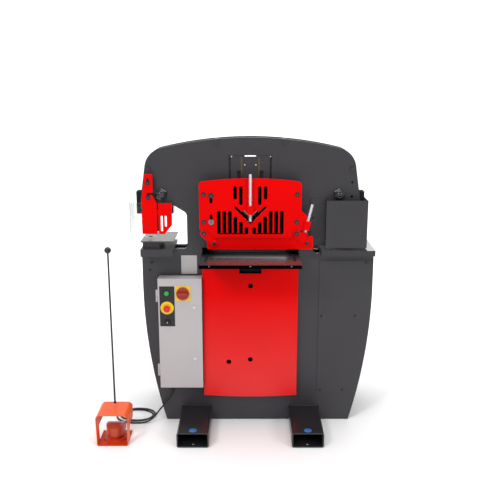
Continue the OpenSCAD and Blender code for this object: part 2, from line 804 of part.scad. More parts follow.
module clear_shield() color([0.8, 0.9, 0.95, 0.35]) {
    front = punch_guard_y + punch_guard_thickness;
    bend_centre = [-shield_reach + shield_bend, front + shield_bend];
    translate([0, 0, shield_bottom]) linear_extrude(shield_top - shield_bottom) {
        translate([bend_centre.x, front])
            square([shield_reach - shield_bend - punch_guard_left + shield_lap, shield_thickness]);
        intersection() {
            translate(bend_centre) difference() {
                circle(shield_bend);
                circle(shield_bend - shield_thickness);
            }
            translate(bend_centre - [shield_bend, shield_bend]) square([shield_bend, shield_bend]);
        }
        translate([-shield_reach, bend_centre.y]) square([shield_thickness, shield_depth]);
    }
}

// Punching die station at the left
die_table_left = 523;
die_table_right = 366;
die_bracket_right = 368;
die_table_front = 57;
die_table_back = 168;
die_table_thickness = 6;
die_radius = 30;
die_body_height = 28;
die_slip = 0.1;
bracket_foot_height = 14;
bracket_foot_reach = 75;
bracket_lip_drop = 21;
bracket_lip_thickness = 13;
bracket_block_margin = 8;
bracket_block_front = 45;
bracket_block_width = 80;
module die_table() color(bright_steel) difference() {
    block([-die_table_left, plate_y - die_table_front, die_height - die_table_thickness],
          [-die_table_right, plate_y + die_table_back, die_height]);
    along_z(-punch_offset, mid_y, die_height - die_table_thickness - overrun,
            die_table_thickness + 2 * overrun, die_radius + die_slip);
}
bracket_back = plate_y + die_table_back - bracket_block_margin;
bracket_block_left = -die_table_left + bracket_block_margin;
module die_bracket() color(charcoal) difference() {
    union() {
        block([-die_table_left, plate_y - bracket_foot_reach, throat_floor],
              [-die_bracket_right, bracket_back, throat_floor + bracket_foot_height]);
        block([-die_table_left, plate_y - bracket_foot_reach, throat_floor - bracket_lip_drop],
              [-die_bracket_right, plate_y - bracket_foot_reach + bracket_lip_thickness, throat_floor]);
        block([bracket_block_left, plate_y - bracket_block_front, throat_floor + bracket_foot_height],
              [bracket_block_left + bracket_block_width, bracket_back, die_height - die_table_thickness]);
    }
    along_z(-punch_offset, mid_y, throat_floor - overrun, die_height - throat_floor, slug_radius);
    along_z(-punch_offset, mid_y, die_height - die_body_height, die_body_height, die_radius + die_slip);
}
die_entry = 0.6;
module die() color(blade_steel) difference() {
    along_z(-punch_offset, mid_y, die_height - die_body_height, die_body_height, die_radius);
    along_z(-punch_offset, mid_y, die_height - die_body_height - overrun, die_body_height + 2 * overrun,
            punch_radius + die_entry);
}

// Punch ram under the left end of the beam, with its coupling nut and the punch
ram_right = 372;
ram_height = 44;
coupling_radius = 40;
coupling_height = 52;
punch_entry = 5;
beam_side_gap = 0.5;
beam_y = plate_back + beam_side_gap;
beam_thickness = plate_gap - 2 * beam_side_gap;
punch_bottom = die_height + beam_stroke - punch_entry;
punch_top = throat_top - ram_height - coupling_height;
module punch_ram() color(black_steel) {
    block([-beam_half_length, beam_y, throat_top - ram_height],
          [-ram_right, beam_y + beam_thickness, throat_top]);
    along_z(-punch_offset, mid_y, punch_top, coupling_height, coupling_radius);
}
module punch() color(blade_steel)
    along_z(-punch_offset, mid_y, punch_bottom, punch_top - punch_bottom, punch_radius);

// Notching station at the right: thick table with a blade opening, blade and folded guard
notch_table_left = 340;
notch_table_right = 598;
notch_table_front = 60;
notch_table_back = 190;
notch_blade_left = 420;
notch_blade_right = 500;
notch_blade_half_depth = 28;
notch_entry = 4;
notch_slip = 0.4;
module notcher_table() color(charcoal) difference() {
    block([notch_table_left, plate_y - notch_table_front, notch_floor],
          [notch_table_right, plate_y + notch_table_back, notch_table_height]);
    block([notch_blade_left - notch_slip, mid_y - notch_blade_half_depth - notch_slip, notch_floor - overrun],
          [notch_blade_right + notch_slip, mid_y + notch_blade_half_depth + notch_slip,
           notch_table_height + overrun]);
}
module notcher_blade() color(blade_steel)
    block([notch_blade_left, mid_y - notch_blade_half_depth, notch_table_height + beam_stroke - notch_entry],
          [notch_blade_right, mid_y + notch_blade_half_depth, throat_top]);
notch_guard_left = 359;
notch_guard_right = 555;
notch_guard_gap = 14;
notch_guard_height = 227;
notch_guard_bottom = notch_table_height + notch_guard_gap;
notch_guard_top = notch_guard_bottom + notch_guard_height;
notch_guard_reach = 58;
notch_guard_side = 170;
notch_guard_tab = 70;
notch_guard_corner = 14;
module notcher_guard() color(charcoal) {
    front = plate_y - notch_guard_reach;
    height = notch_guard_height;
    translate([notch_guard_left, front, notch_guard_bottom])
        cube([notch_guard_right - notch_guard_left, skin_thickness, height]);
    translate([notch_guard_left, front + skin_thickness, notch_guard_bottom])
        cube([skin_thickness, notch_guard_reach - skin_thickness, height]);
    translate([notch_guard_left - notch_guard_tab, plate_y - skin_thickness, notch_guard_bottom])
        cube([notch_guard_tab, skin_thickness, height]);
    translate([notch_guard_right - skin_thickness, front + skin_thickness, 0]) rotate([90, 0, 90])
        linear_extrude(skin_thickness)
            polygon([[0, notch_guard_bottom], [notch_guard_side, notch_guard_bottom],
                     [notch_guard_side, notch_guard_top - notch_guard_corner],
                     [notch_guard_side - notch_guard_corner, notch_guard_top], [0, notch_guard_top]]);
}

// Press beam between the plates, with its angle opening
beam_hump_half_width = 150;
beam_hump_foot = 200;
beam_hump_top = 1240;
beam_keel_half_width = 190;
angle_block_half_width = 46;
angle_block_depth = 22;
angle_block_top = 1128;
angle_block_rise = angle_root_width * sqrt(2);
module angle_block() {
    polygon([[0, angle_point + angle_block_rise],
             [angle_block_half_width, angle_point + angle_block_rise + angle_block_half_width],
             [angle_block_half_width, angle_block_top], [-angle_block_half_width, angle_block_top],
             [-angle_block_half_width, angle_point + angle_block_rise + angle_block_half_width]]);
}
module press_beam() color(black_steel) difference() {
    plate_at(beam_y, beam_thickness) difference() {
        polygon([[-beam_half_length, throat_top], [-beam_keel_half_width, throat_top],
                 [-beam_keel_half_width, shear_window_top], [beam_keel_half_width, shear_window_top],
                 [beam_keel_half_width, throat_top], [beam_half_length, throat_top],
                 [beam_half_length, beam_top], [beam_hump_foot, beam_top],
                 [beam_hump_half_width, beam_hump_top], [-beam_hump_half_width, beam_hump_top],
                 [-beam_hump_foot, beam_top], [-beam_half_length, beam_top]]);
        angle_opening(0);
    }
    plate_at(beam_y - overrun, angle_block_depth + overrun) angle_block();
}
module angle_blade() color(blade_steel) plate_at(beam_y, angle_block_depth) angle_block();

// Pull frame: two bars in the columns and a yoke below the cylinder
pull_bar_inner = 212;
pull_bar_outer = 268;
pull_thickness = 50;
yoke_bottom = 320;
yoke_height = 70;
yoke_top = yoke_bottom + yoke_height;
module pull_frame() color(black_steel) {
    for (side = [0, 1]) mirror([side, 0, 0])
        block([pull_bar_inner, mid_y - pull_thickness / 2, yoke_bottom],
              [pull_bar_outer, mid_y + pull_thickness / 2, throat_top]);
    block([-pull_bar_inner, mid_y - pull_thickness / 2, yoke_bottom],
          [pull_bar_inner, mid_y + pull_thickness / 2, yoke_top]);
}
rod_depth = 150;
rod_end_room = 10;
module piston_rod() color(bright_steel)
    along_z(0, mid_y, yoke_top, cylinder_bottom - yoke_top + rod_depth, rod_radius);
module hydraulic_cylinder() color(black_steel) difference() {
    along_z(0, mid_y, cylinder_bottom, cylinder_top - cylinder_bottom, cylinder_radius);
    along_z(0, mid_y, cylinder_bottom - overrun, rod_depth + rod_end_room + overrun, rod_radius + run_fit);
}

// Centre guide: the bar slides between brass strips held by two keepers in the plate window
guide_recess = 3;
guide_bar_bottom = 1172;
guide_bar_top = 1346;
gib_width = 6;
gib_length = 104;
gib_fit = 0.1;
keeper_margin = 0.5;
keeper_rebate = [9, 10];
keeper_pocket = [18, 15, 1281];
guide_front = plate_y + guide_recess;
module guide_bar() color(charcoal)
    block([-guide_half_width, guide_front, guide_bar_bottom], [guide_half_width, beam_y, guide_bar_top]);
module guide_gibs() color(brass_yellow) for (side = [0, 1]) mirror([side, 0, 0])
    block([guide_half_width + gib_fit, guide_front, guide_bar_top - gib_length],
          [guide_half_width + gib_fit + gib_width, plate_back, guide_bar_top]);
module guide_keepers() color(charcoal) for (side = [0, 1]) mirror([side, 0, 0]) difference() {
    inner = guide_half_width + gib_fit + gib_width;
    outer = window_half_width - keeper_margin;
    block([inner, guide_front, window_bottom], [outer, plate_back, window_top - keeper_margin]);
    block([outer - keeper_rebate.x, guide_front - overrun, window_bottom - overrun],
          [outer + overrun, guide_front + keeper_rebate.y, window_top + overrun]);
    block([inner - overrun, guide_front - overrun, window_bottom - overrun],
          [inner + keeper_pocket.x, guide_front + keeper_pocket.y, keeper_pocket.z]);
}

// Round adjusters that set the beam against its rear guide
module guide_adjusters() color(black_steel) for (side = [-1, 1]) {
    x = side * adjuster_place.x;
    along_y(x, adjuster_place.y, plate_y - adjuster_height, adjuster_height, adjuster_radius);
    along_y(x, adjuster_place.y, plate_y - adjuster_height - adjuster_nut_height, adjuster_nut_height,
            adjuster_nut_radius);
    along_y(x, adjuster_place.y, plate_y - adjuster_height - adjuster_nut_height - adjuster_stud_height,
            adjuster_stud_height, adjuster_stud_radius);
    along_y(x, adjuster_place.y, plate_y, plate_thickness, adjuster_shank_radius);
}

// Power unit behind the rear plate: the oil tank stands on the fork tubes, the motor on the tank
tank_half_width = 330;
tank_front_gap = 20;
tank_depth = 240;
tank_height = 250;
motor_radius = 92;
motor_height = 270;
motor_x = 120;
motor_flange_radius = 110;
motor_flange_height = 14;
motor_cap_height = 45;
motor_cap_inset = 8;
tank_y = rear_back + tank_front_gap;
module oil_tank() color(charcoal)
    block([-tank_half_width, tank_y, tube_height],
          [tank_half_width, tank_y + tank_depth, tube_height + tank_height]);
module motor() color(charcoal) {
    z = tube_height + tank_height;
    along_z(motor_x, tank_y + tank_depth / 2, z, motor_flange_height, motor_flange_radius);
    along_z(motor_x, tank_y + tank_depth / 2, z + motor_flange_height, motor_height, motor_radius);
    along_z(motor_x, tank_y + tank_depth / 2, z + motor_flange_height + motor_height, motor_cap_height,
            motor_radius - motor_cap_inset);
}

// Control box: open body, door on a left hinge and the controls in the door
sheet = 2;
hinge_offset = 7;
hinge_x = box_left - hinge_offset;
hinge_y = box_body_y - clear_gap / 2;
hinge_radius = 6;
hinge_pin_radius = 3.5;
hinge_length = 30;
hinge_end_margin = 60;
hinge_places = [box_bottom + hinge_end_margin, box_top - hinge_end_margin - 2 * hinge_length];
hinge_tab = 9;
box_flange = 15;
gland_x = -395;
gland_reach = 28;
gland_y = plate_y - gland_reach;
gland_radius = 9;
gland_flange_radius = 14;
gland_flange_height = 6;
gland_length = 24;
gland_spigot_radius = 8;

module control_box() color(box_grey) {
    difference() {
        block([box_left, box_body_y, box_bottom], [box_right, box_body_y + box_depth, box_top]);
        block([box_left + sheet, box_body_y - overrun, box_bottom + sheet],
              [box_right - sheet, box_body_y + box_depth - sheet, box_top - sheet]);
        along_z(gland_x, gland_y, box_bottom - overrun, sheet + 2 * overrun, gland_spigot_radius + bolt_slip);
    }
    plate_at(plate_back, sheet) difference() {
        translate([box_left - box_flange, box_bottom - box_flange])
            square([box_width + 2 * box_flange, box_height + 2 * box_flange]);
        translate([box_left, box_bottom]) square([box_width, box_height]);
    }
    for (z = hinge_places) {
        along_z(hinge_x, hinge_y, z, hinge_length, hinge_radius);
        along_z(hinge_x, hinge_y, z + hinge_length, hinge_length, hinge_pin_radius);
        block([hinge_x, box_body_y, z], [box_left, box_body_y + hinge_tab, z + hinge_length]);
    }
}

// Controls on the door: place, and the radius of the hole each turns or slides in
button_place = [-406, 694];
stop_place = [-405, 620];
selector_place = [-404, 547];
disconnect_place = [-327, 694];
latch_places = [[-273, 358], [-273, 623]];
button_radius = 11.5;
stop_stem_radius = 9;
shaft_radius = 5;

module control_box_door() color(box_grey) {
    difference() {
        block([box_left, box_door_y, box_bottom], [box_right, box_door_y + box_door_depth, box_top]);
        block([box_left + sheet, box_door_y + sheet, box_bottom + sheet],
              [box_right - sheet, box_door_y + box_door_depth + overrun, box_top - sheet]);
        along_y(button_place.x, button_place.y, box_door_y - overrun, box_door_depth, button_radius + run_fit);
        along_y(stop_place.x, stop_place.y, box_door_y - overrun, box_door_depth, stop_stem_radius + run_fit);
        for (p = concat([selector_place, disconnect_place], latch_places))
            along_y(p.x, p.y, box_door_y - overrun, box_door_depth, shaft_radius + run_fit);
    }
    for (z = hinge_places) difference() {
        union() {
            along_z(hinge_x, hinge_y, z + hinge_length + clear_gap, hinge_length, hinge_radius);
            block([hinge_x, box_door_y + box_door_depth - hinge_tab, z + hinge_length + clear_gap],
                  [box_left, box_door_y + box_door_depth, z + 2 * hinge_length + clear_gap]);
        }
        along_z(hinge_x, hinge_y, z, 2 * hinge_length + overrun, hinge_pin_radius + run_fit);
    }
}

button_reach = 6;
button_depth = 9;
button_collar_radius = 13.5;
button_collar = 2;
module start_button() color("green") {
    along_y(button_place.x, button_place.y, box_door_y - button_reach, button_reach + button_depth,
            button_radius);
    along_y(button_place.x, button_place.y, box_door_y + button_depth - button_collar, button_collar,
            button_collar_radius);
}
stop_reach = 26;
stop_cap_height = 13;
stop_cap_radius = 16;
stop_crown_height = 4;
stop_depth = 9;
module stop_button() color("red") {
    along_y(stop_place.x, stop_place.y, box_door_y - stop_reach, stop_crown_height,
            stop_cap_radius - stop_crown_height);
    along_y(stop_place.x, stop_place.y, box_door_y - stop_reach + stop_crown_height,
            stop_cap_height - stop_crown_height, stop_cap_radius);
    along_y(stop_place.x, stop_place.y, box_door_y - stop_reach + stop_cap_height,
            stop_reach - stop_cap_height + stop_depth, stop_stem_radius);
}
knob_radius = 13;
knob_height = 8;
knob_bar_half_width = 4;
knob_bar_height = 9;
shaft_depth = 10;
module selector_knob() color(black_steel) {
    along_y(selector_place.x, selector_place.y, box_door_y - clear_gap - knob_height, knob_height, knob_radius);
    along_y(selector_place.x, selector_place.y, box_door_y - clear_gap, shaft_depth, shaft_radius);
    block([selector_place.x - knob_bar_half_width, box_door_y - clear_gap - knob_height - knob_bar_height,
           selector_place.y - knob_radius + knob_bar_half_width],
          [selector_place.x + knob_bar_half_width, box_door_y - clear_gap - knob_height,
           selector_place.y + knob_radius - knob_bar_half_width]);
}
dial_radius = 31;
dial_height = 12;
dial_bar_half_width = 8;
dial_bar_height = 14;
module disconnect_handle() color([0.6, 0.08, 0.06]) {
    along_y(disconnect_place.x, disconnect_place.y, box_door_y - clear_gap - dial_height, dial_height,
            dial_radius);
    along_y(disconnect_place.x, disconnect_place.y, box_door_y - clear_gap, shaft_depth, shaft_radius);
    block([disconnect_place.x - dial_radius + dial_bar_half_width,
           box_door_y - clear_gap - dial_height - dial_bar_height, disconnect_place.y - dial_bar_half_width],
          [disconnect_place.x + dial_radius - dial_bar_half_width, box_door_y - clear_gap - dial_height,
           disconnect_place.y + dial_bar_half_width]);
}
latch_radius = 9;
latch_height = 4;
latch_cam = [18, 4];
latch_cam_depth = 5;
module latch(p) color(bright_steel) {
    along_y(p.x, p.y, box_door_y - clear_gap - latch_height, latch_height, latch_radius);
    along_y(p.x, p.y, box_door_y - clear_gap, shaft_depth, shaft_radius);
    block([p.x - latch_cam.y, box_door_y + shaft_depth - latch_cam_depth, p.y - latch_cam.y],
          [p.x + latch_cam.x, box_door_y + shaft_depth - clear_gap, p.y + latch_cam.y]);
}
module lower_latch() latch(latch_places[0]);
module upper_latch() latch(latch_places[1]);

module cord_gland() color(black_steel) {
    along_z(gland_x, gland_y, box_bottom, sheet, gland_spigot_radius);
    along_z(gland_x, gland_y, box_bottom - gland_flange_height, gland_flange_height, gland_flange_radius);
    along_z(gland_x, gland_y, box_bottom - gland_length, gland_length - gland_flange_height, gland_radius);
}

// Foot switch: folded hood open at both ends, cast switch body, treadle and carrying handle
hood_x = -657;
hood_reach = 276;
hood_front = plate_y - hood_reach;
hood_sheet = 3;
hood_back = hood_front + hood_depth;
hood_foot_half_width = 74;
hood_crown_half_width = 62;
hood_shoulder = 144;
hood_corner_radius = 12;
hood_leg_depth = 55;
hood_cut_bottom = 5;
hood_cut_knee = 74;
hood_cut_top = 81;
hood_cut_slope = 7;
handle_x = -664;
handle_back_margin = 14;
handle_radius = 4.5;
handle_collar_radius = 6.5;
handle_collar_height = 6;
ball_radius = 16;
hood_hole_radius = 5;
hood_hole_step = 13;
module hood_section(inset) {
    half = [[hood_foot_half_width - inset, inset], [hood_width / 2 - inset, hood_shoulder],
            [hood_crown_half_width - inset / 2, hood_height - inset]];
    polygon(rounded(concat(half, flipped(half)), hood_corner_radius - inset, fillet_steps));
}
module pedal_hood() color(hood_orange) translate([hood_x, 0, 0]) difference() {
    plate_at(hood_front, hood_depth) difference() {
        hood_section(0);
        hood_section(hood_sheet);
    }
    translate([-hood_width, 0, 0]) rotate([90, 0, 90]) linear_extrude(2 * hood_width)
        polygon([[hood_front + hood_leg_depth, hood_cut_bottom], [hood_back + overrun, hood_cut_bottom],
                 [hood_back + overrun, hood_cut_top],
                 [hood_front + hood_leg_depth + hood_cut_slope, hood_cut_top],
                 [hood_front + hood_leg_depth, hood_cut_knee]]);
    along_z(handle_x - hood_x, hood_back - handle_back_margin - hood_hole_step,
            hood_height - hood_sheet - overrun, hood_sheet + 2 * overrun, hood_hole_radius);
}
switch_front = 31;
switch_length = 112;
switch_flange_half_width = 53;
switch_flange_height = 6;
switch_half_width = 33;
switch_set_back = 21;
switch_height = 34;
switch_ear_width = 6;
switch_ear_top = 49;
switch_ear_length = 26;
treadle_pin_radius = 4;
treadle_pin_height = 41;
treadle_pin_inset = 13;
switch_gland_radius = 8;
switch_gland_length = 16;
switch_gland_height = 20;
switch_foot = hood_sheet;
switch_y = hood_front + switch_front;
switch_back = switch_y + switch_length;
treadle_pin_y = switch_back - treadle_pin_inset;
treadle_half_width = 42;
module round_front(half, front, back) {
    translate([-half, front + half]) square([2 * half, back - front - half]);
    translate([0, front + half]) circle(half);
}
module pedal_switch() color([0.75, 0.16, 0.08]) translate([hood_x, 0, 0]) {
    translate([0, 0, switch_foot]) linear_extrude(switch_flange_height)
        round_front(switch_flange_half_width, switch_y, switch_back);
    translate([0, 0, switch_foot + switch_flange_height])
        linear_extrude(switch_height - switch_foot - switch_flange_height)
            round_front(switch_half_width, switch_y + switch_set_back, switch_back);
    for (side = [0, 1]) mirror([side, 0, 0])
        block([switch_half_width - switch_ear_width, switch_back - switch_ear_length, switch_height],
              [switch_half_width, switch_back, switch_ear_top]);
    along_x(-treadle_half_width, treadle_pin_y, treadle_pin_height, 2 * treadle_half_width, treadle_pin_radius);
    along_y(0, switch_gland_height, switch_back, switch_gland_length, switch_gland_radius);
}
treadle_front = 8;
treadle_wall = 5;
treadle_rim = 26;
treadle_ceiling = 55;
treadle_brow = 69;
treadle_top = 75;
treadle_top_start = 26;
treadle_top_length = 28;
treadle_heel = 10;
treadle_heel_top = 59;
module treadle() color([0.45, 0.10, 0.07]) difference() {
    y = switch_y + treadle_front;
    back = treadle_pin_y + treadle_heel;
    intersection() {
        translate([hood_x, 0, treadle_rim]) linear_extrude(treadle_top - treadle_rim)
            round_front(treadle_half_width, y, back);
        translate([hood_x - treadle_half_width, 0, 0]) rotate([90, 0, 90])
            linear_extrude(2 * treadle_half_width)
            polygon([[y, treadle_rim], [back, treadle_rim], [back, treadle_heel_top],
                     [y + treadle_top_start + treadle_top_length, treadle_top],
                     [y + treadle_top_start, treadle_top], [y, treadle_brow]]);
    }
    translate([hood_x, 0, treadle_rim - overrun]) linear_extrude(treadle_ceiling - treadle_rim + overrun)
        round_front(treadle_half_width - treadle_wall, y + treadle_wall, back + overrun);
    along_x(hood_x - treadle_half_width - overrun, treadle_pin_y, treadle_pin_height,
            2 * treadle_half_width + 2 * overrun, treadle_pin_radius + run_fit);
}
module pedal_handle() color(black_steel) {
    y = hood_back - handle_back_margin;
    along_z(handle_x, y, hood_height, handle_collar_height, handle_collar_radius);
    along_z(handle_x, y, hood_height + handle_collar_height, handle_height - hood_height - handle_collar_height,
            handle_radius);
    translate([handle_x, y, handle_height]) sphere(ball_radius);
}

// Pedal cord: a free stretch from the gland to the floor, loose floor loops and a stretch to the switch
loop_set_back = 32;
loop_offset = 67;
loop_centre = [hood_x + loop_offset, plate_y + loop_set_back];
loop_half_width = 108;
loop_half_depth = 83;
loop_start = -75;
loop_in_sweep = 310;
loop_climb_sweep = 180;
loop_sweep = 735;
loop_draw = 30;
loop_rings = 24;
cord_gap = 0.6;
cord_sides = 8;
loop_sides = 6;
cord_radius = cord_diameter / 2;
cord_lift = 0.1;
floor_rest = cord_radius + cord_lift;
layer_rise = cord_diameter + cord_gap;

function loop_inward(sweep) = sweep < loop_in_sweep ? sweep
    : sweep < loop_in_sweep + loop_climb_sweep ? loop_in_sweep
    : loop_in_sweep - (sweep - loop_in_sweep - loop_climb_sweep);
function loop_climb(sweep) = let (t = min(1, max(0, (sweep - loop_in_sweep) / loop_climb_sweep)))
    t * t * (3 - 2 * t);
function loop_point(sweep) = let (a = loop_start - sweep, d = loop_draw * loop_inward(sweep) / 360)
    [loop_centre.x + (loop_half_width - d) * cos(a), loop_centre.y + (loop_half_depth - d) * sin(a),
     floor_rest + layer_rise * loop_climb(sweep)];
loop_steps = ceil(loop_sweep * loop_rings / 360);
loop_route = [for (i = [0 : loop_steps]) loop_point(loop_sweep * i / loop_steps)];

gland_end = [gland_x, gland_y, box_bottom - gland_length];
switch_gland_end = [hood_x, switch_back + switch_gland_length, switch_gland_height];
drop_steps = [
    [0, 0, 0], [0, 0, -12], [-2, 0, -26], [-8, 1, -40], [-18, 2, -54], [-31, 4, -70], [-46, 5, -88],
    [-62, 4, -107], [-77, 1, -126], [-93, -4, -145], [-110, -10, -160], [-130, -15, -169.5], [-150, -18, -173.2]
];
tail_steps = [
    [50, 71, -6.5], [34, 66, -6], [20, 56, -5], [9, 42, -3.5], [3, 27, -1.5], [0, 13, 0], [0, 0, 0]
];
drop_route = concat([for (step = drop_steps) gland_end + step], [loop_route[0]]);
tail_route = concat([loop_route[loop_steps]], [for (step = tail_steps) switch_gland_end + step]);

function heading(p, i) = unit(p[min(i + 1, len(p) - 1)] - p[max(i - 1, 0)]);
function ring(centre, along, side, r, n) = let (u = unit(cross(along, side)), v = cross(u, along))
    [for (k = [0 : n - 1]) centre + r * (cos(360 * k / n) * u + sin(360 * k / n) * v)];
module tube(p, first, last, side, r, n) {
    m = len(p) - 1;
    rings = [for (i = [0 : m]) ring(p[i], i == 0 ? first : i == m ? last : heading(p, i), side, r, n)];
    walls = [for (i = [0 : m - 1]) for (k = [0 : n - 1]) let (a = i * n + k, b = i * n + (k + 1) % n)
        each [[a, b, a + n], [b, b + n, a + n]]];
    caps = [for (k = [1 : n - 2]) each [[0, k + 1, k], [m * n, m * n + k, m * n + k + 1]]];
    polyhedron([for (r = rings) each r], concat(walls, caps));
}
loop_in_heading = unit(loop_route[1] - loop_route[0]);
loop_out_heading = unit(loop_route[loop_steps] - loop_route[loop_steps - 1]);
module pedal_cord() color(black_steel) {
    tube(drop_route, [0, 0, -1], loop_in_heading, [0, 1, 0], cord_radius, cord_sides);
    tube(tail_route, loop_out_heading, [0, -1, 0], [0, 0, 1], cord_radius, cord_sides);
}
module pedal_cord_coil() color(black_steel)
    tube(loop_route, loop_in_heading, loop_out_heading, [0, 0, 1], cord_radius, loop_sides);

loop_apart = floor(loop_rings / 2);
loop_self_gap = min([for (i = [0 : loop_steps - loop_apart]) for (j = [i + loop_apart : loop_steps])
    norm(loop_route[i] - loop_route[j])]) - cord_diameter;
echo(loop_self_gap = loop_self_gap);

front_frame_plate();
rear_frame_plate();
frame_blocks();
tie_bolts();
left_foot_tube();
right_foot_tube();
base_cabinet();
rear_cover();
right_access_panel();
front_cover();
shear_table();
lower_shear_blade();
shear_guard();
guard_standoffs();
button_bolts();
upper_slot_screw();
lower_slot_screw();
left_link();
right_link();
hold_down_bar();
centre_hold_screw();
side_hold_screw();
punch_guard();
punch_guard_wing();
clear_shield();
die_table();
die_bracket();
die();
punch_ram();
punch();
notcher_guard();
notcher_table();
notcher_blade();
press_beam();
upper_shear_blade();
angle_blade();
pull_frame();
piston_rod();
hydraulic_cylinder();
guide_bar();
guide_keepers();
guide_gibs();
guide_adjusters();
motor();
oil_tank();
control_box();
control_box_door();
start_button();
stop_button();
selector_knob();
disconnect_handle();
upper_latch();
lower_latch();
cord_gland();
pedal_hood();
pedal_switch();
treadle();
pedal_handle();
pedal_cord();
pedal_cord_coil();
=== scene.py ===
"""Finishes, small fittings, foot switch cord and studio stage for the ironworker machine."""
import math

import bmesh
import bpy
from bpy.types import Operator, Panel, PropertyGroup
from mathutils import Matrix, Vector


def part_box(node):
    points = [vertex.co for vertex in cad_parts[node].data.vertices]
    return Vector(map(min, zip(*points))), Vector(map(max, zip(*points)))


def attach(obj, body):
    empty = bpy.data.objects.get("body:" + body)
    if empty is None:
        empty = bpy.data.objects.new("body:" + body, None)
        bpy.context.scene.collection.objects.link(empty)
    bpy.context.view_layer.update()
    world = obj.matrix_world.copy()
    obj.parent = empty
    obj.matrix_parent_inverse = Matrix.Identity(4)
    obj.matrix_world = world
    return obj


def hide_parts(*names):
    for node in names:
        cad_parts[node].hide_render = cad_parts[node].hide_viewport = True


bl_info = {
    "name": "Ironworker machine",
    "version": (1, 0, 0),
    "blender": (4, 5, 0),
    "location": "3D View > Sidebar > Ironworker",
    "description": "Dresses the packed ironworker machine with finishes and fittings",
    "category": "Object",
}

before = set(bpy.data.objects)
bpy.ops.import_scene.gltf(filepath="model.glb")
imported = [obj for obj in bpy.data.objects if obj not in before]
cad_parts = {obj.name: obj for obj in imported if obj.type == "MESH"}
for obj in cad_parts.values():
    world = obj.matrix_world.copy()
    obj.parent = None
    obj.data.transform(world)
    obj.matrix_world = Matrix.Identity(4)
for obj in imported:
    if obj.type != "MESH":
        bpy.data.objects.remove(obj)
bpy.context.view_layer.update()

# Planes of the part that fittings sit on, read from the frame, in metres.
PLATE_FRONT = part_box("front_frame_plate")[0][1]
DOOR_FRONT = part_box("control_box_door")[0][1]
PANEL_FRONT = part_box("right_access_panel")[0][1]
REAR_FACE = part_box("rear_cover")[1][1]
TABLE_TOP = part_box("lower_shear_blade")[1][2]

# Camera of the photograph: place in metres, dip in degrees, lens and sensor in millimetres.
CAMERA_PLACE = (-0.0015, PLATE_FRONT - 3.3015, 1.6832)
CAMERA_DIP = 13.41
LENS_MM, SENSOR_MM = 50.3, 36

# Studio sheet: half width, front edge, and the steps that take it back over the floor and up as a wall.
SWEEP_HALF_WIDTH, SWEEP_FRONT = 14, -9
SWEEP_STEPS = ((0, 15, 0), (0, 0.6, 0.12), (0, 0.55, 0.35), (0, 0.35, 0.55), (0, 0.12, 0.6), (0, 0, 9))

# Soft square lamps: name, place, point aimed at, side in metres, power in watts.
LAMPS = (
    ("key", (-2.6, -4.2, 4.2), (0, 0, 0.8), 1.3, 110),
    ("fill", (3.4, -3.6, 2.6), (0, 0, 0.7), 1.2, 55),
    ("top", (0, -0.6, 4.6), (0, 0, 0.6), 3.2, 95),
    ("wall", (0, 2.6, 4.4), (0, 6.5, 1.2), 3.5, 260),
)

# Cord in millimetres: down from the gland to the floor, and from the last loop into the switch.
CORD_DROP = ((0, 0, 0), (0, 0, -12), (-2, 0, -26), (-8, 1, -40), (-18, 2, -54), (-31, 4, -70), (-46, 5, -88),
             (-62, 4, -107), (-77, 1, -126), (-93, -4, -145), (-110, -10, -160), (-130, -15, -169.5),
             (-150, -18, -173.2))
CORD_TAIL = ((50, 71, -6.5), (34, 66, -6), (20, 56, -5), (9, 42, -3.5), (3, 27, -1.5), (0, 13, 0), (0, 0, 0))
SWITCH_ENTRY_HEIGHT = 0.020

# Floor loops of the cord: middle, half widths and draw of a full turn in metres, angles in degrees.
LOOP_MIDDLE = (-0.590, PLATE_FRONT + 0.032)
LOOP_REACH = (0.108, 0.083)
LOOP_DRAW = 0.030
LOOP_START, LOOP_SWEEP, LOOP_STEP = -75, 735, 15
# The cord climbs on itself between these two sweeps; small gaps keep it off the floor and off itself.
LOOP_CLIMB = (310, 490)
FLOOR_GAP, CROSSING_GAP = 0.0001, 0.0006

# Grinding lines: distance in millimetres, and the stretch that lays them across the machine.
GROUND_LINE_MM = 0.8
GROUND_STRETCH = (0.04, 1, 1)
# Width of the soft edge of a painted shade, in metres.
SHADE_FADE = 0.03


def linear(hex_value):
    """Turn an sRGB hex colour into linear values with full alpha."""
    parts = [int(hex_value[i:i + 2], 16) / 255 for i in (1, 3, 5)]
    return tuple(c / 12.92 if c <= 0.04045 else ((c + 0.055) / 1.055) ** 2.4 for c in parts) + (1.0,)


def darker(values, share):
    """Colour with a share of the light of another."""
    return tuple(c * share for c in values[:3]) + (1.0,)


def colour(label, hex_value):
    """Property for the colour of a finish."""
    return bpy.props.FloatVectorProperty(
        name=label, description=f"Colour of the {label.lower()}", size=4, subtype="COLOR",
        min=0, max=1, default=linear(hex_value))


def length(label, words, metres):
    """Property for a size in metres."""
    return bpy.props.FloatProperty(
        name=label, description=words, default=metres, min=0, unit="LENGTH", precision=4)


class IronworkerColours(PropertyGroup):
    """Colours of the main finishes."""
    frame_grey: colour("Frame powder coat", "#323034")
    frame_grey_deep: colour("Frame powder coat shade", "#2c2a2e")
    guard_red: colour("Guard enamel", "#e40000")
    guard_red_deep: colour("Guard enamel shade", "#d80000")
    box_grey: colour("Control box enamel", "#b6b1b2")
    hood_orange: colour("Foot switch hood enamel", "#f2622f")
    switch_red: colour("Foot switch casting enamel", "#d9421e")
    treadle_red: colour("Treadle moulding", "#c44a2c")
    collar_yellow: colour("Stop collar moulding", "#f0c419")
    plug_blue: colour("Tube plug moulding", "#2f6fb3")
    tube_black: colour("Fork tube enamel", "#232225")
    floor_white: colour("Studio floor", "#fafafa")


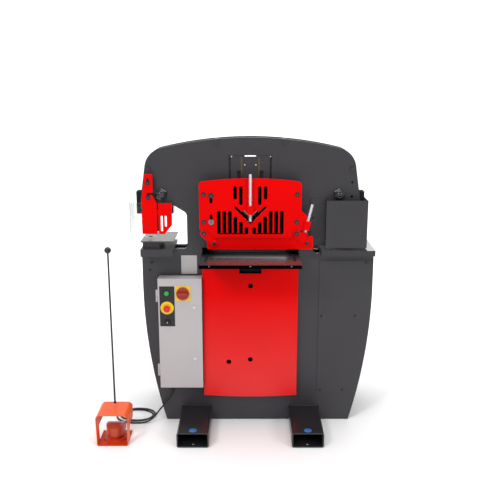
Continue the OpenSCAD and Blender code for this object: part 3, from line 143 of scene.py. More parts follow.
class IronworkerSizes(PropertyGroup):
    """Sizes of the fittings that the scene adds."""
    panel_screw_radius: length("Panel screw radius", "Head radius of the panel and rear cover screws", 0.0065)
    socket_radius: length("Socket radius", "Radius of the hexagon sockets in the bolt heads", 0.0042)
    thread_pitch: length("Thread pitch", "Pitch of the hold down screws", 0.003)
    thread_depth: length("Thread depth", "Depth of the thread of the hold down screws", 0.0011)
    weld_width: length("Weld width", "Width of the weld beads at the fork tubes", 0.009)
    cord_diameter: length("Cord diameter", "Diameter of the foot switch cord", 0.0085)
    collar_radius: length("Stop collar radius", "Radius of the collar behind the stop button", 0.0325)


def colours():
    """The scene's colours."""
    return bpy.context.scene.ironworker_colours


def sizes():
    """The scene's sizes."""
    return bpy.context.scene.ironworker_sizes


def middle(node):
    """Middle of a node's box."""
    return Vector([(low + high) / 2 for low, high in zip(*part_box(node))])


def set_inputs(tree, node, inputs):
    """Give a shader node its inputs: a socket is linked, a hex colour made linear, a value set as it is."""
    for key, value in inputs.items():
        if isinstance(value, bpy.types.NodeSocket):
            tree.links.new(value, node.inputs[key])
        else:
            node.inputs[key].default_value = linear(value) if isinstance(value, str) else value


def add_node(tree, kind, inputs=None, **settings):
    """Add one shader node with its settings and inputs."""
    node = tree.nodes.new(kind)
    for key, value in settings.items():
        setattr(node, key, value)
    set_inputs(tree, node, inputs or {})
    return node


def noise(tree, vector, width_mm, detail):
    """Pattern whose features are about this many millimetres wide on Object coordinates."""
    return add_node(tree, "ShaderNodeTexNoise", {
        "Vector": vector, "Scale": 1000 / width_mm, "Detail": detail}).outputs["Fac"]


def stretched(tree, place, stretch):
    """Coordinates that draw a pattern out along the axes with a small value."""
    return add_node(tree, "ShaderNodeMapping", {"Vector": place, "Scale": stretch}).outputs["Vector"]


def blend(tree, share, first, second):
    """Colour that goes from the first to the second as the share grows."""
    return add_node(tree, "ShaderNodeMix", {"Factor": share, "A": first, "B": second},
                    data_type="RGBA").outputs["Result"]


def ramp(tree, share, low, high):
    """Number that goes from low to high as the share goes from 0 to 1."""
    return add_node(tree, "ShaderNodeMapRange", {
        "Value": share, "To Min": low, "To Max": high}).outputs["Result"]


def relief(tree, pattern, strength, height_mm):
    """Normal that shows a pattern as relief of a height in millimetres."""
    return add_node(tree, "ShaderNodeBump", {
        "Height": pattern, "Strength": strength, "Distance": height_mm / 1000}).outputs["Normal"]


def new_finish(name):
    """Start a material and return it with its tree, surface shader and Object coordinates."""
    material = bpy.data.materials.new(name)
    material.use_nodes = True
    tree = material.node_tree
    tree.nodes.clear()
    surface = add_node(tree, "ShaderNodeBsdfPrincipled")
    add_node(tree, "ShaderNodeOutputMaterial", {"Surface": surface.outputs["BSDF"]})
    place = add_node(tree, "ShaderNodeTexCoord").outputs["Object"]
    return material, tree, surface, place


def paint(name, light, deep, rough, peel_mm, coat=0.0, shine=0.5):
    """Sprayed or baked paint: a drift between two shades, and orange peel of a width and height."""
    material, tree, surface, place = new_finish(name)
    # The drift of the shade is about 180 mm wide, as an even spray coat gives.
    drift = noise(tree, place, 180, 2.0)
    peel = noise(tree, place, peel_mm[0], 3.0)
    set_inputs(tree, surface, {
        "Base Color": blend(tree, drift, deep, light),
        "Roughness": ramp(tree, peel, rough - 0.05, rough + 0.05),
        "Normal": relief(tree, peel, 0.25, peel_mm[1]),
        "Specular IOR Level": shine,
        "Coat Weight": coat,
        "Coat Roughness": 0.08,
    })
    return material


def worked_metal(name, light, deep, rough, grain_mm, stretch=(1, 1, 1)):
    """Bare or plated metal: grain of a width and height, stretched along the way that it was worked."""
    material, tree, surface, place = new_finish(name)
    grain = noise(tree, stretched(tree, place, stretch), grain_mm[0], 4.0)
    set_inputs(tree, surface, {
        "Base Color": blend(tree, grain, deep, light),
        "Roughness": ramp(tree, grain, rough - 0.08, rough + 0.08),
        "Normal": relief(tree, grain, 0.3, grain_mm[1]),
        "Metallic": 1.0,
    })
    return material


def moulding(name, light, deep, rough, grain_mm=2):
    """Moulded plastic: the fine spark-eroded grain of the tool shows in the gloss."""
    material, tree, surface, place = new_finish(name)
    grain = noise(tree, place, grain_mm, 2.0)
    set_inputs(tree, surface, {
        "Base Color": blend(tree, grain, deep, light),
        "Roughness": ramp(tree, grain, rough - 0.06, rough + 0.06),
        "Normal": relief(tree, grain, 0.2, 0.1),
    })
    return material


def zone_share(tree, place, zones):
    """Socket that is 1 inside all zones; a zone is (axis, where the share is 0, where it is 1)."""
    parts = add_node(tree, "ShaderNodeSeparateXYZ", {"Vector": place})
    mask = None
    for axis, none, full in zones:
        share = add_node(tree, "ShaderNodeMapRange", {
            "Value": parts.outputs[axis], "From Min": none, "From Max": full}).outputs["Result"]
        if mask:
            share = add_node(tree, "ShaderNodeMath", {0: mask, 1: share}, operation="MULTIPLY").outputs[0]
        mask = share
    return mask


def top_zone(node):
    """Zone of the uppermost face of a node."""
    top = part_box(node)[1][2]
    return "Z", top - 0.0006, top - 0.0004


def shade_zone(axis, full, side):
    """Zone that is full from a place on towards side, which is 1 or -1, with a soft edge before it."""
    return axis, full - side * SHADE_FADE, full


def zoned_copy(material, name, zones):
    """Copy of a finish, returned with its tree, surface shader and the share of the zones."""
    copy = material.copy()
    copy.name = name
    tree = copy.node_tree
    surface = next(n for n in tree.nodes if n.type == "BSDF_PRINCIPLED")
    place = next(n for n in tree.nodes if n.type == "TEX_COORD").outputs["Object"]
    return copy, tree, surface, zone_share(tree, place, zones)


def shade_painted_copy(material, name, zones, shade_colour, rough, metallic=0.0):
    """Copy of a finish with a painted shade colour over it inside the zones."""
    copy, tree, surface, share = zoned_copy(material, name, zones)
    coat = surface.inputs["Base Color"].links[0].from_socket
    gloss = surface.inputs["Roughness"].links[0].from_socket
    set_inputs(tree, surface, {
        "Base Color": blend(tree, share, coat, shade_colour),
        "Roughness": ramp(tree, share, gloss, rough),
        "Metallic": ramp(tree, share, 0.0, metallic),
    })
    return copy


def polished(material, name, zones):
    """Copy of a finish with a soft, clear polish that grows inside the zones."""
    copy, tree, surface, share = zoned_copy(material, name, zones)
    set_inputs(tree, surface, {"Coat Roughness": 0.4, "Coat Weight": share})
    return copy


def machined_top(name, zones, top, side):
    """Block whose top is machined across inside the zones.

    top is (light colour, deep colour, roughness, metallic), and side is (colour, roughness, metallic).
    """
    light, deep, top_rough, top_metallic = top
    edge, side_rough, side_metallic = side
    material, tree, surface, place = new_finish(name)
    share = zone_share(tree, place, zones)
    grain = noise(tree, stretched(tree, place, GROUND_STRETCH), GROUND_LINE_MM, 4.0)
    set_inputs(tree, surface, {
        "Base Color": blend(tree, share, edge, blend(tree, grain, deep, light)),
        "Roughness": ramp(tree, share, side_rough, top_rough),
        "Metallic": ramp(tree, share, side_metallic, top_metallic),
    })
    return material


def new_piece(name, bm, material, body="machine", smooth=True):
    """Close a bmesh into a piece that sits at the origin, wears a named finish and rides on a body."""
    bmesh.ops.remove_doubles(bm, verts=bm.verts, dist=1e-6)
    bmesh.ops.recalc_face_normals(bm, faces=bm.faces)
    mesh = bpy.data.meshes.new(name)
    bm.to_mesh(mesh)
    bm.free()
    mesh.materials.append(bpy.data.materials[material])
    if smooth:
        mesh.shade_smooth()
        mesh.set_sharp_from_angle(angle=math.radians(35))
    piece = bpy.data.objects.new(name, mesh)
    bpy.context.scene.collection.objects.link(piece)
    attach(piece, body)
    return piece


def only(kind, geom):
    """The elements of one kind in what a bmesh operator made."""
    return [g for g in geom if isinstance(g, kind)]


def set_in_place(bm, old, place):
    """Move the vertices that have been added to the old ones."""
    bmesh.ops.transform(bm, matrix=place, verts=[v for v in bm.verts if v not in old])


def turned(bm, profile, steps, place):
    """Spin a profile of (radius, height) points round Z and set the turned shape in place."""
    old = set(bm.verts)
    verts = [bm.verts.new((r, 0, h)) for r, h in profile]
    edges = [bm.edges.new(pair) for pair in zip(verts, verts[1:])]
    bmesh.ops.spin(bm, geom=verts + edges, cent=(0, 0, 0), axis=(0, 0, 1), angle=math.tau,
                   steps=steps, use_merge=True, use_normal_flip=False, use_duplicate=False)
    set_in_place(bm, old, place)


def bevel(bm, edges, offset, segments):
    """Round edges, or chamfer them with one segment."""
    bmesh.ops.bevel(bm, geom=list(edges), offset=offset, offset_type="OFFSET", segments=segments,
                    profile=0.5, affect="EDGES", material=-1, clamp_overlap=True)


def rounded_block(bm, low, high, edge, segments=2):
    """Cube from corner to corner with all its edges rounded."""
    low, high = Vector(low), Vector(high)
    size = high - low
    place = Matrix.Translation((low + high) / 2) @ Matrix.Diagonal((*size, 1))
    made = bmesh.ops.create_cube(bm, size=1, matrix=place)
    bevel(bm, {e for v in made["verts"] for e in v.link_edges}, edge, segments)


def block_piece(name, low, high, edge, segments, material, body):
    """Piece that is one rounded block."""
    bm = bmesh.new()
    rounded_block(bm, low, high, edge, segments)
    new_piece(name, bm, material, body, smooth=False)


def on_front(x, y, z):
    """Place whose +Z points to the operator."""
    return Matrix.Translation((x, y, z)) @ Matrix.Rotation(math.radians(90), 4, "X")


def on_back(x, y, z):
    """Place whose +Z points away from the operator."""
    return Matrix.Translation((x, y, z)) @ Matrix.Rotation(math.radians(-90), 4, "X")


def screws(name, places, radius, height, steps, material, body="machine"):
    """Piece of like screws, each a low round head with a socket in its middle."""
    shares = ((0, 0.45), (0.42, 0.45), (0.42, 1), (0.62, 0.96), (0.86, 0.68), (1, 0.2), (1, 0))
    head = [(radius * r, height * h) for r, h in shares]
    bm = bmesh.new()
    for place in places:
        turned(bm, head, steps, place)
    new_piece(name, bm, material, body)


class IRONWORKER_OT_stage(Operator):
    """Camera at the photograph's place, pale sweep of floor and wall, and soft lights"""
    bl_idname = "ironworker.stage"
    bl_label = "Stage"

    def execute(self, context):
        scene = context.scene
        lens = bpy.data.cameras.new("camera")
        lens.lens = LENS_MM
        lens.sensor_width = SENSOR_MM
        lens.clip_end = 60
        camera = bpy.data.objects.new("camera", lens)
        camera.location = CAMERA_PLACE
        camera.rotation_euler = (math.radians(90 - CAMERA_DIP), 0, 0)
        scene.collection.objects.link(camera)
        scene.camera = camera

        material, tree, surface, place = new_finish("matt studio paper")
        # Paper tooth is about 3 mm wide here, coarser than life so that it shows at all.
        tooth = noise(tree, place, 3, 2.0)
        set_inputs(tree, surface, {
            "Base Color": colours().floor_white,
            "Roughness": 0.6,
            "Normal": relief(tree, tooth, 0.05, 0.3),
        })

        bm = bmesh.new()
        front = [bm.verts.new((x, SWEEP_FRONT, 0)) for x in (-SWEEP_HALF_WIDTH, SWEEP_HALF_WIDTH)]
        line = [bm.edges.new(front)]
        for step in SWEEP_STEPS:
            made = bmesh.ops.extrude_edge_only(bm, edges=line)["geom"]
            line = only(bmesh.types.BMEdge, made)
            bmesh.ops.translate(bm, vec=step, verts=only(bmesh.types.BMVert, made))
        mesh = bpy.data.meshes.new("studio_sweep")
        bm.to_mesh(mesh)
        bm.free()
        mesh.materials.append(material)
        mesh.shade_smooth()
        sweep = bpy.data.objects.new("studio_sweep", mesh)
        scene.collection.objects.link(sweep)

        world = bpy.data.worlds.new("studio")
        world.use_nodes = True
        back = world.node_tree.nodes["Background"]
        set_inputs(world.node_tree, back, {"Color": "#fbfbfd", "Strength": 0.55})
        scene.world = world
        for name, spot, aim, side, power in LAMPS:
            lamp = bpy.data.lights.new(name, "AREA")
            lamp.shape = "SQUARE"
            lamp.size = side
            lamp.energy = power
            light = bpy.data.objects.new(name, lamp)
            light.location = spot
            light.rotation_euler = (Vector(aim) - Vector(spot)).to_track_quat("-Z", "Y").to_euler()
            scene.collection.objects.link(light)
        scene.view_settings.view_transform = "Standard"
        return {"FINISHED"}


class IRONWORKER_OT_finishes(Operator):
    """Make the finishes and put them on the CAD pieces"""
    bl_idname = "ironworker.finishes"
    bl_label = "Finishes"

    def execute(self, context):
        c = colours()
        (left, _, low), (right, _, high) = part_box("shear_guard")
        # Satin powder coat over thick plate: dark grey, fine orange peel about 1.6 mm wide.
        frame_coat = paint(
            "charcoal powder coat", c.frame_grey, c.frame_grey_deep, rough=0.42, peel_mm=(1.6, 0.2))
        # Behind the guard the front plate is dull and near black: painted shade of the guard.
        painted_shade_black = "#040304"
        behind_guard = [shade_zone("X", left + 0.05, 1), shade_zone("X", right - 0.10, -1),
                        shade_zone("Z", low, 1), shade_zone("Z", high - 0.05, -1)]
        plate_coat = shade_painted_copy(
            frame_coat, "charcoal powder coat with painted shade", behind_guard, painted_shade_black, rough=0.9, metallic=1.0)
        # The cabinet has the frame's colour with less gloss; its deck under the blades is near black, painted
        # shade.
        cabinet_coat = paint(
            "dull charcoal powder coat", c.frame_grey, c.frame_grey_deep,
            rough=0.5, peel_mm=(1.6, 0.2), shine=0.15)
        under_blades = [top_zone("base_cabinet"), shade_zone("X", left, 1), shade_zone("X", 0.42, -1)]
        deck_coat = shade_painted_copy(cabinet_coat, "cabinet powder coat with painted shade", under_blades, painted_shade_black, rough=0.95)
        # The shear table's top is dark and mirrors the guard; near the blade it is a dull near black, painted
        # guard shadow; its edges are near black, partly painted shade.
        unshaded_top = [top_zone("lower_shear_blade"), ("Y", PLATE_FRONT - 0.048, PLATE_FRONT - 0.128)]
        shelf_coat = machined_top(
            "table steel with painted shadow", unshaded_top, top=("#443f40", "#3b3738", 0.16, 0.0), side=("#0d0c0d", 0.9, 1.0))
        # The notching table is painted like the frame; under the guard its top keeps that colour as painted
        # shade; past the guard its top is bare and ground.
        open_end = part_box("notcher_guard")[1][0]
        past_guard = [top_zone("notcher_table"), ("X", open_end + 0.001, open_end + 0.005)]
        notch_coat = machined_top(
            "painted block with painted shade and ground top", past_guard,
            top=("#a39f98", "#8f8b85", 0.2, 1.0), side=(c.frame_grey, 0.8, 0.0))
        # The die table is ground on top and has dull, dark edges.
        die_coat = machined_top(
            "ground plate with dark edges", [top_zone("die_table")],
            top=("#63615d", "#514f4b", 0.3, 1.0), side=("#3a3835", 0.5, 0.0))
        # Semi-gloss black enamel on the fork tubes, darker than the frame.
        tube_coat = paint(
            "black tube enamel", c.tube_black, darker(c.tube_black, 0.8),
            rough=0.32, peel_mm=(2, 0.12), coat=0.1)
        # Bright guard enamel: an even satin red with a soft peel about 3 mm wide and hardly a reflection.
        guard_coat = paint(
            "signal red enamel", c.guard_red, c.guard_red_deep, rough=0.34, peel_mm=(3, 0.12), shine=0.06)
        # The bowed cover has the same enamel, polished towards the floor, which it mirrors faintly.
        (_, _, foot), (_, _, brow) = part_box("front_cover")
        cover_coat = polished(guard_coat, "polished red enamel", [("Z", brow - 0.180, foot + 0.063)])
        # Pale grey enclosure enamel with a fine texture.
        box_coat = paint(
            "pale grey enclosure enamel", c.box_grey, darker(c.box_grey, 0.93),
            rough=0.4, peel_mm=(1.2, 0.15))
        # Orange baked enamel on the folded hood; its floor is darker, painted shade under the hood.
        hood_coat = paint(
            "orange baked enamel", c.hood_orange, darker(c.hood_orange, 0.9),
            rough=0.34, peel_mm=(2.5, 0.12), shine=0.12)
        shaded_floor_hood_coat = shade_painted_copy(hood_coat, "orange enamel with painted shade on its floor", [("Z", 0.016, 0.006)], "#c63f0c", rough=0.5)
        # Red enamel over a sand casting, so the skin is rougher and coarser.
        cast_coat = paint(
            "red enamelled casting", c.switch_red, darker(c.switch_red, 0.82), rough=0.45, peel_mm=(4, 0.6))
        # Chemical black on turned steel: nearly black with a dull sheen.
        black_oxide = paint("black oxide steel", "#202024", "#141417", rough=0.28, peel_mm=(2, 0.1))
        # Matt black iron of the beam, lower blade and angle blade: near black with no gloss, partly painted
        # shade, so the gaps stay dark.
        matt = paint("matt black iron and painted shade", "#2a292c", "#222124", rough=0.85, peel_mm=(2, 0.2), shine=0.1)
        # Gloss black nuts of the guide adjusters catch the lamps.
        paint("gloss black nut enamel", "#232225", "#1b1a1d", rough=0.2, peel_mm=(3, 0.1), coat=0.5)
        # Light grey steel in the bolt sockets: a painted glint in each socket.
        worked_metal("socket steel with painted glint", "#77767a", "#4e4d51", rough=0.34, grain_mm=(1.5, 0.08))
        # Light grey bare steel.
        worn = worked_metal("worn bright steel", "#a9a8aa", "#77767a", rough=0.3, grain_mm=(1.5, 0.08))
        # Zinc plate: bright, slightly cloudy spangle about 4 mm wide.
        zinc = worked_metal("bright zinc plate", "#dddce0", "#c8c7cb", rough=0.5, grain_mm=(4, 0.1))
        # Surface ground steel: fine lines across, coarser than life so that they show.
        ground = worked_metal(
            "surface ground steel", "#a5a29f", "#85827f",
            rough=0.36, grain_mm=(GROUND_LINE_MM, 0.05), stretch=GROUND_STRETCH)
        # Hardened tool steel is ground too, but darker from heat treatment.
        tool = worked_metal(
            "hardened tool steel", "#5a595c", "#3c3c40", rough=0.42, grain_mm=(1, 0.05), stretch=(0.05, 1, 1))
        # Brushed aluminium sheet of the blank plate, brushed across.
        worked_metal(
            "brushed aluminium sheet", "#c2bfbf", "#aaa7a7",
            rough=0.45, grain_mm=(0.8, 0.04), stretch=(0.03, 1, 1))
        # Machined brass strips with lines along their length.
        brass = worked_metal(
            "machined brass", "#81724f", "#68593a", rough=0.36, grain_mm=(1, 0.05), stretch=(1, 1, 0.05))
        # Push buttons: clean, bright plastic with a soft gloss.
        green = moulding("green button moulding", "#15a63a", "#118a30", rough=0.25)
        red = moulding("red button moulding", "#e0201a", "#c41812", rough=0.25)
        # The disconnect dial is a deeper, browner red than the push button.
        dial = moulding("deep red dial moulding", "#a3261c", "#8a1d15", rough=0.35)
        # Black nylon of the strips, bezels, knob and gland is dull with a fine grain.
        black = moulding("black nylon moulding", "#1d1d1f", "#131315", rough=0.5, grain_mm=1.5)
        # Warm yellow of the stop collar and disconnect plate, white of the pointer, blue of the tube plugs.
        moulding("yellow collar moulding", c.collar_yellow, darker(c.collar_yellow, 0.9), rough=0.35)
        moulding("white pointer inlay", "#e8e8e6", "#dcdcda", rough=0.4)
        moulding("blue plug moulding", c.plug_blue, darker(c.plug_blue, 0.85), rough=0.4)
        # The treadle's red is dusty, with a coarser grain for grip.
        treadle = moulding(
            "dark red treadle moulding", c.treadle_red, darker(c.treadle_red, 0.8), rough=0.4, grain_mm=3)
        # The cord's sheath is a dull, nearly black plastic.
        sheath = moulding("black cord sheath", "#19191b", "#0f0f10", rough=0.5)

        # Clear polycarbonate sheet: transparent with faint wiping haze.
        clear, tree, surface, place = new_finish("clear polycarbonate sheet")
        haze = noise(tree, place, 40, 3.0)
        set_inputs(tree, surface, {
            "Base Color": "#e3e6e2",
            "Roughness": ramp(tree, haze, 0.02, 0.12),
            "Transmission Weight": 1.0,
            "IOR": 1.35,
        })

        coats = {
            plate_coat: ["front_frame_plate", "guide_keepers", "guide_bar"],
            deck_coat: ["base_cabinet"],
            frame_coat: ["rear_frame_plate", "rear_cover", "right_access_panel", "die_bracket",
                         "notcher_guard", "motor", "oil_tank", "tie_bolts"],
            notch_coat: ["notcher_table"],
            tube_coat: ["left_foot_tube", "right_foot_tube"],
            shelf_coat: ["shear_table"],
            cover_coat: ["front_cover"],
            guard_coat: ["shear_guard", "left_link", "right_link", "hold_down_bar", "punch_guard",
                         "punch_guard_wing"],
            box_coat: ["control_box", "control_box_door"],
            black_oxide: ["frame_blocks", "guard_standoffs", "button_bolts", "punch_ram", "pull_frame",
                          "hydraulic_cylinder", "pedal_handle", "upper_slot_screw", "guide_adjusters"],
            matt: ["press_beam", "lower_shear_blade", "angle_blade"],
            worn: ["lower_slot_screw"],
            zinc: ["centre_hold_screw", "side_hold_screw", "upper_latch", "lower_latch"],
            ground: ["die", "piston_rod"],
            die_coat: ["die_table"],
            tool: ["upper_shear_blade", "punch", "notcher_blade"],
            brass: ["guide_gibs"],
            clear: ["clear_shield"],
            green: ["start_button"],
            red: ["stop_button"],
            dial: ["disconnect_handle"],
            black: ["selector_knob", "cord_gland"],
            shaded_floor_hood_coat: ["pedal_hood"],
            cast_coat: ["pedal_switch"],
            treadle: ["treadle"],
            sheath: ["pedal_cord", "pedal_cord_coil"],
        }
        for material, nodes in coats.items():
            for node in nodes:
                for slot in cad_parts[node].material_slots:
                    slot.material = material
        missing = set(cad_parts).difference(*coats.values())
        if missing:
            raise RuntimeError(f"No finish for {sorted(missing)}")
        return {"FINISHED"}


def loop_point(sweep, radius):
    """Point of the floor loops after a sweep: the cord draws in, climbs on itself and draws out again."""
    climb, crest = LOOP_CLIMB
    draw = LOOP_DRAW * (min(sweep, climb) - max(0, sweep - crest)) / 360
    turn = math.radians(LOOP_START - sweep)
    t = min(1, max(0, (sweep - climb) / (crest - climb)))
    return Vector((LOOP_MIDDLE[0] + (LOOP_REACH[0] - draw) * math.cos(turn),
                   LOOP_MIDDLE[1] + (LOOP_REACH[1] - draw) * math.sin(turn),
                   radius + FLOOR_GAP + (2 * radius + CROSSING_GAP) * t * t * (3 - 2 * t)))


class IRONWORKER_OT_foot_cord(Operator):
    """Cord from the control box to the floor, through two loose loops and to the foot switch"""
    bl_idname = "ironworker.foot_cord"
    bl_label = "Foot switch cord"

    def execute(self, context):
        radius = sizes().cord_diameter / 2
        start = middle("cord_gland")
        start.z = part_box("cord_gland")[0][2]
        end = middle("pedal_switch")
        end.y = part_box("pedal_switch")[1][1]
        end.z = SWITCH_ENTRY_HEIGHT
        route = [start + Vector(p) / 1000 for p in CORD_DROP]
        route += [loop_point(sweep, radius) for sweep in range(0, LOOP_SWEEP + 1, LOOP_STEP)]
        route += [end + Vector(p) / 1000 for p in CORD_TAIL]

        curve = bpy.data.curves.new("foot_switch_cord", "CURVE")
        curve.dimensions = "3D"
        curve.bevel_depth = radius
        curve.bevel_resolution = 4
        curve.resolution_u = 4
        curve.use_fill_caps = True
        spline = curve.splines.new("BEZIER")
        spline.bezier_points.add(len(route) - 1)
        for point, place in zip(spline.bezier_points, route):
            point.co = place
            point.handle_left_type = point.handle_right_type = "AUTO"
        curve.materials.append(bpy.data.materials["black cord sheath"])
        cord = bpy.data.objects.new("foot_switch_cord", curve)
        context.scene.collection.objects.link(cord)
        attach(cord, "machine")
        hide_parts("pedal_cord", "pedal_cord_coil")

        # Ribbed sleeves taper from each gland on to the cord; every other point lies in a groove.
        bore = radius + 0.00015
        points, pitch, wide, taper, groove = 10, 0.0024, 0.0080, 0.0022, 0.0007
        tip = pitch * (points - 1)
        ribs = [(wide - taper * i / (points - 1) - groove * (i % 2), pitch * i) for i in range(points)]
        for name, place in (
                ("box_cord_sleeve", Matrix.Translation(start) @ Matrix.Rotation(math.pi, 4, "X")),
                ("switch_cord_sleeve", on_back(*end))):
            bm = bmesh.new()
            turned(bm, [(bore, 0)] + ribs + [(bore, tip), (bore, 0)], 24, place)
            new_piece(name, bm, "black nylon moulding")
        return {"FINISHED"}


class IRONWORKER_OT_hold_screws(Operator):
    """Threaded hold down screws in place of the plain ones"""
    bl_idname = "ironworker.hold_screws"
    bl_label = "Hold down screws"

    def execute(self, context):
        pitch, depth = sizes().thread_pitch, sizes().thread_depth
        radius, chamfer, facets = 0.008, 0.002, 20
        core = radius - depth * 0.6
        tip = core - 0.001
        for node, tilt in (("centre_hold_screw", 0.0), ("side_hold_screw", math.radians(13.6))):
            low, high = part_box(node)
            run = ((high[2] - low[2]) - 2 * radius * math.sin(tilt)) / math.cos(tilt)
            turns = int((run - 2 * chamfer) / pitch) - 1
            bm = bmesh.new()
            verts = [bm.verts.new((r, 0, h)) for r, h in
                     ((radius, chamfer), (radius - depth, chamfer + pitch / 2), (radius, chamfer + pitch))]
            edges = [bm.edges.new(pair) for pair in zip(verts, verts[1:])]
            bmesh.ops.spin(
                bm, geom=verts + edges, cent=(0, 0, 0), axis=(0, 0, 1), dvec=(0, 0, pitch / facets),
                angle=math.tau * turns, steps=facets * turns, use_merge=False, use_duplicate=False)
            bmesh.ops.remove_doubles(bm, verts=bm.verts, dist=2e-5)
            turned(bm, [(0, 0), (tip, 0), (core, chamfer), (core, run - chamfer), (tip, run), (0, run)],
                   facets, Matrix())
            along = Matrix.Rotation(tilt, 4, "Y")
            foot = middle(node) - (along @ Vector((0, 0, run / 2)))
            bmesh.ops.transform(bm, matrix=Matrix.Translation(foot) @ along, verts=bm.verts)
            piece = new_piece(f"threaded_{node}", bm, "bright zinc plate", node)
            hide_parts(node)
        return {"FINISHED"}


class IRONWORKER_OT_screws(Operator):
    """Low round head screws of the panels, guide bar, keepers, shear table and rear cover"""
    bl_idname = "ironworker.screws"
    bl_label = "Screws"

    def execute(self, context):
        radius, inset = sizes().panel_screw_radius, 0.010
        # The last one is in the tab of the notching guard, which is as thick as the panel.
        on_panel = ((0.353, 0.559), (0.520, 0.561), (0.355, 0.163), (0.467, 0.165), (0.564, 0.833),
                    (0.302, 1.057))
        on_plate = ((-0.491, 0.795), (-0.480, 0.833))
        places = [on_front(x, PANEL_FRONT, z) for x, z in on_panel]
        places += [on_front(x, PLATE_FRONT, z) for x, z in on_plate]
        screws("panel_screws", places, radius, 0.0035, 20, "black oxide steel")
        low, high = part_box("guide_bar")
        places = [on_front(x, low[1], high[2] - 0.038) for x in (-0.026, 0.026)]
        screws("guide_bar_screws", places, 0.0042, 0.0028, 20,
               "bright zinc plate", "press_beam")
        low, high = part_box("guide_keepers")
        places = [on_front(x, low[1], high[2] - 0.0055) for x in (-0.0885, 0.0955)]
        screws("keeper_screws", places, 0.004, 0.0025, 18, "bright zinc plate")
        low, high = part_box("shear_table")
        places = [on_front(x, low[1], TABLE_TOP - 0.006) for x in (-0.186, 0, 0.186)]
        screws("table_screws", places, 0.0032, 0.0025, 18, "worn bright steel")
        low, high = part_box("rear_cover")
        places = [on_back(x, REAR_FACE, z) for x in (low[0] + inset, 0, high[0] - inset)
                  for z in (low[2] + inset, high[2] - inset)]
        screws("rear_cover_screws", places, radius, 0.0035, 20, "black oxide steel")
        return {"FINISHED"}


class IRONWORKER_OT_blank_plate(Operator):
    """Blank plate above the control box, with a rivet in each corner"""
    bl_idname = "ironworker.blank_plate"
    bl_label = "Blank plate"

    def execute(self, context):
        left, right, bottom, top = -0.337, -0.260, 0.776, 0.869
        stand, sink, rivet_inset = 0.0008, 0.0002, 0.006
        rivet = [(0, 0.0022), (0.0014, 0.0019), (0.0022, stand), (0, stand)]
        bm = bmesh.new()
        rounded_block(bm, (left, PLATE_FRONT - stand, bottom), (right, PLATE_FRONT + sink, top), 0.0003, 1)
        for x in (left + rivet_inset, right - rivet_inset):
            for z in (bottom + rivet_inset, top - rivet_inset):
                turned(bm, rivet, 14, on_front(x, PLATE_FRONT, z))
        new_piece("blank_plate", bm, "brushed aluminium sheet", smooth=False)
        return {"FINISHED"}


class IRONWORKER_OT_groove_shade_strips(Operator):
    """Black strips in the two grooves of the shear table: painted shade in the grooves"""
    bl_idname = "ironworker.groove_strips"
    bl_label = "Groove strips"

    def execute(self, context):
        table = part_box("shear_table")
        inset, half_width = 0.028, 0.0055
        front, back = PLATE_FRONT - 0.192, PLATE_FRONT - 0.040
        foot, top = TABLE_TOP - 0.0079, TABLE_TOP - 0.002
        bm = bmesh.new()
        for x in (table[0][0] + inset, table[1][0] - inset):
            rounded_block(bm, (x - half_width, front, foot), (x + half_width, back, top), 0.0006)
        new_piece("groove_strips", bm, "black nylon moulding", smooth=False)
        return {"FINISHED"}


class IRONWORKER_OT_bolt_sockets(Operator):
    """Hexagon sockets in the heads of the guard bolts and clamp screws, and heads on the link pins"""
    bl_idname = "ironworker.bolt_sockets"
    bl_label = "Bolt sockets"

    def execute(self, context):
        # The lowest guard bolt on each side carries a link, which slopes down to its pin.
        bolt_x, bolt_heights = 0.219, (0.994, 1.049, 1.180)
        link_length, link_slope = 0.066, math.radians(43.5)
        for body, x in (("left_link", -bolt_x), ("right_link", bolt_x)):
            pin = on_front(x + link_length * math.cos(link_slope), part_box("left_link")[0][1],
                           bolt_heights[0] - link_length * math.sin(link_slope))
            screws(f"{body}_pin_head", [pin], 0.0095, 0.004, 24, "black oxide steel", body)

        guard_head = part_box("button_bolts")[0][1]
        # The punch guard slides under bolt heads 6.5 mm high with 0.3 mm of play.
        punch_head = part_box("punch_guard")[0][1] - 0.0003 - 0.0065
        punch_x, punch_heights = -0.484, (1.158, 1.227)
        groups = {"machine": [(x, guard_head, z) for x in (-bolt_x, bolt_x) for z in bolt_heights]
                  + [(punch_x, punch_head, z) for z in punch_heights]}
        for node in ("upper_slot_screw", "lower_slot_screw"):
            x, _, z = middle(node)
            groups[node] = [(x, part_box(node)[0][1], z)]
        radius, depth, rim, sink = sizes().socket_radius, 0.0006, 0.14, 0.0002
        for body, places in groups.items():
            bm = bmesh.new()
            for place in places:
                made = bmesh.ops.create_cone(
                    bm, cap_ends=True, segments=6, radius1=radius, radius2=radius * 0.96, depth=depth,
                    matrix=on_front(*place))
                caps = {f for v in made["verts"] for f in v.link_faces if len(f.verts) == 6}
                bmesh.ops.inset_region(bm, faces=list(caps), thickness=radius * rim, depth=-sink)
            # The sockets' light grey steel is a painted glint.
            new_piece(f"{body}_sockets", bm, "socket steel with painted glint", body, smooth=False)
        return {"FINISHED"}


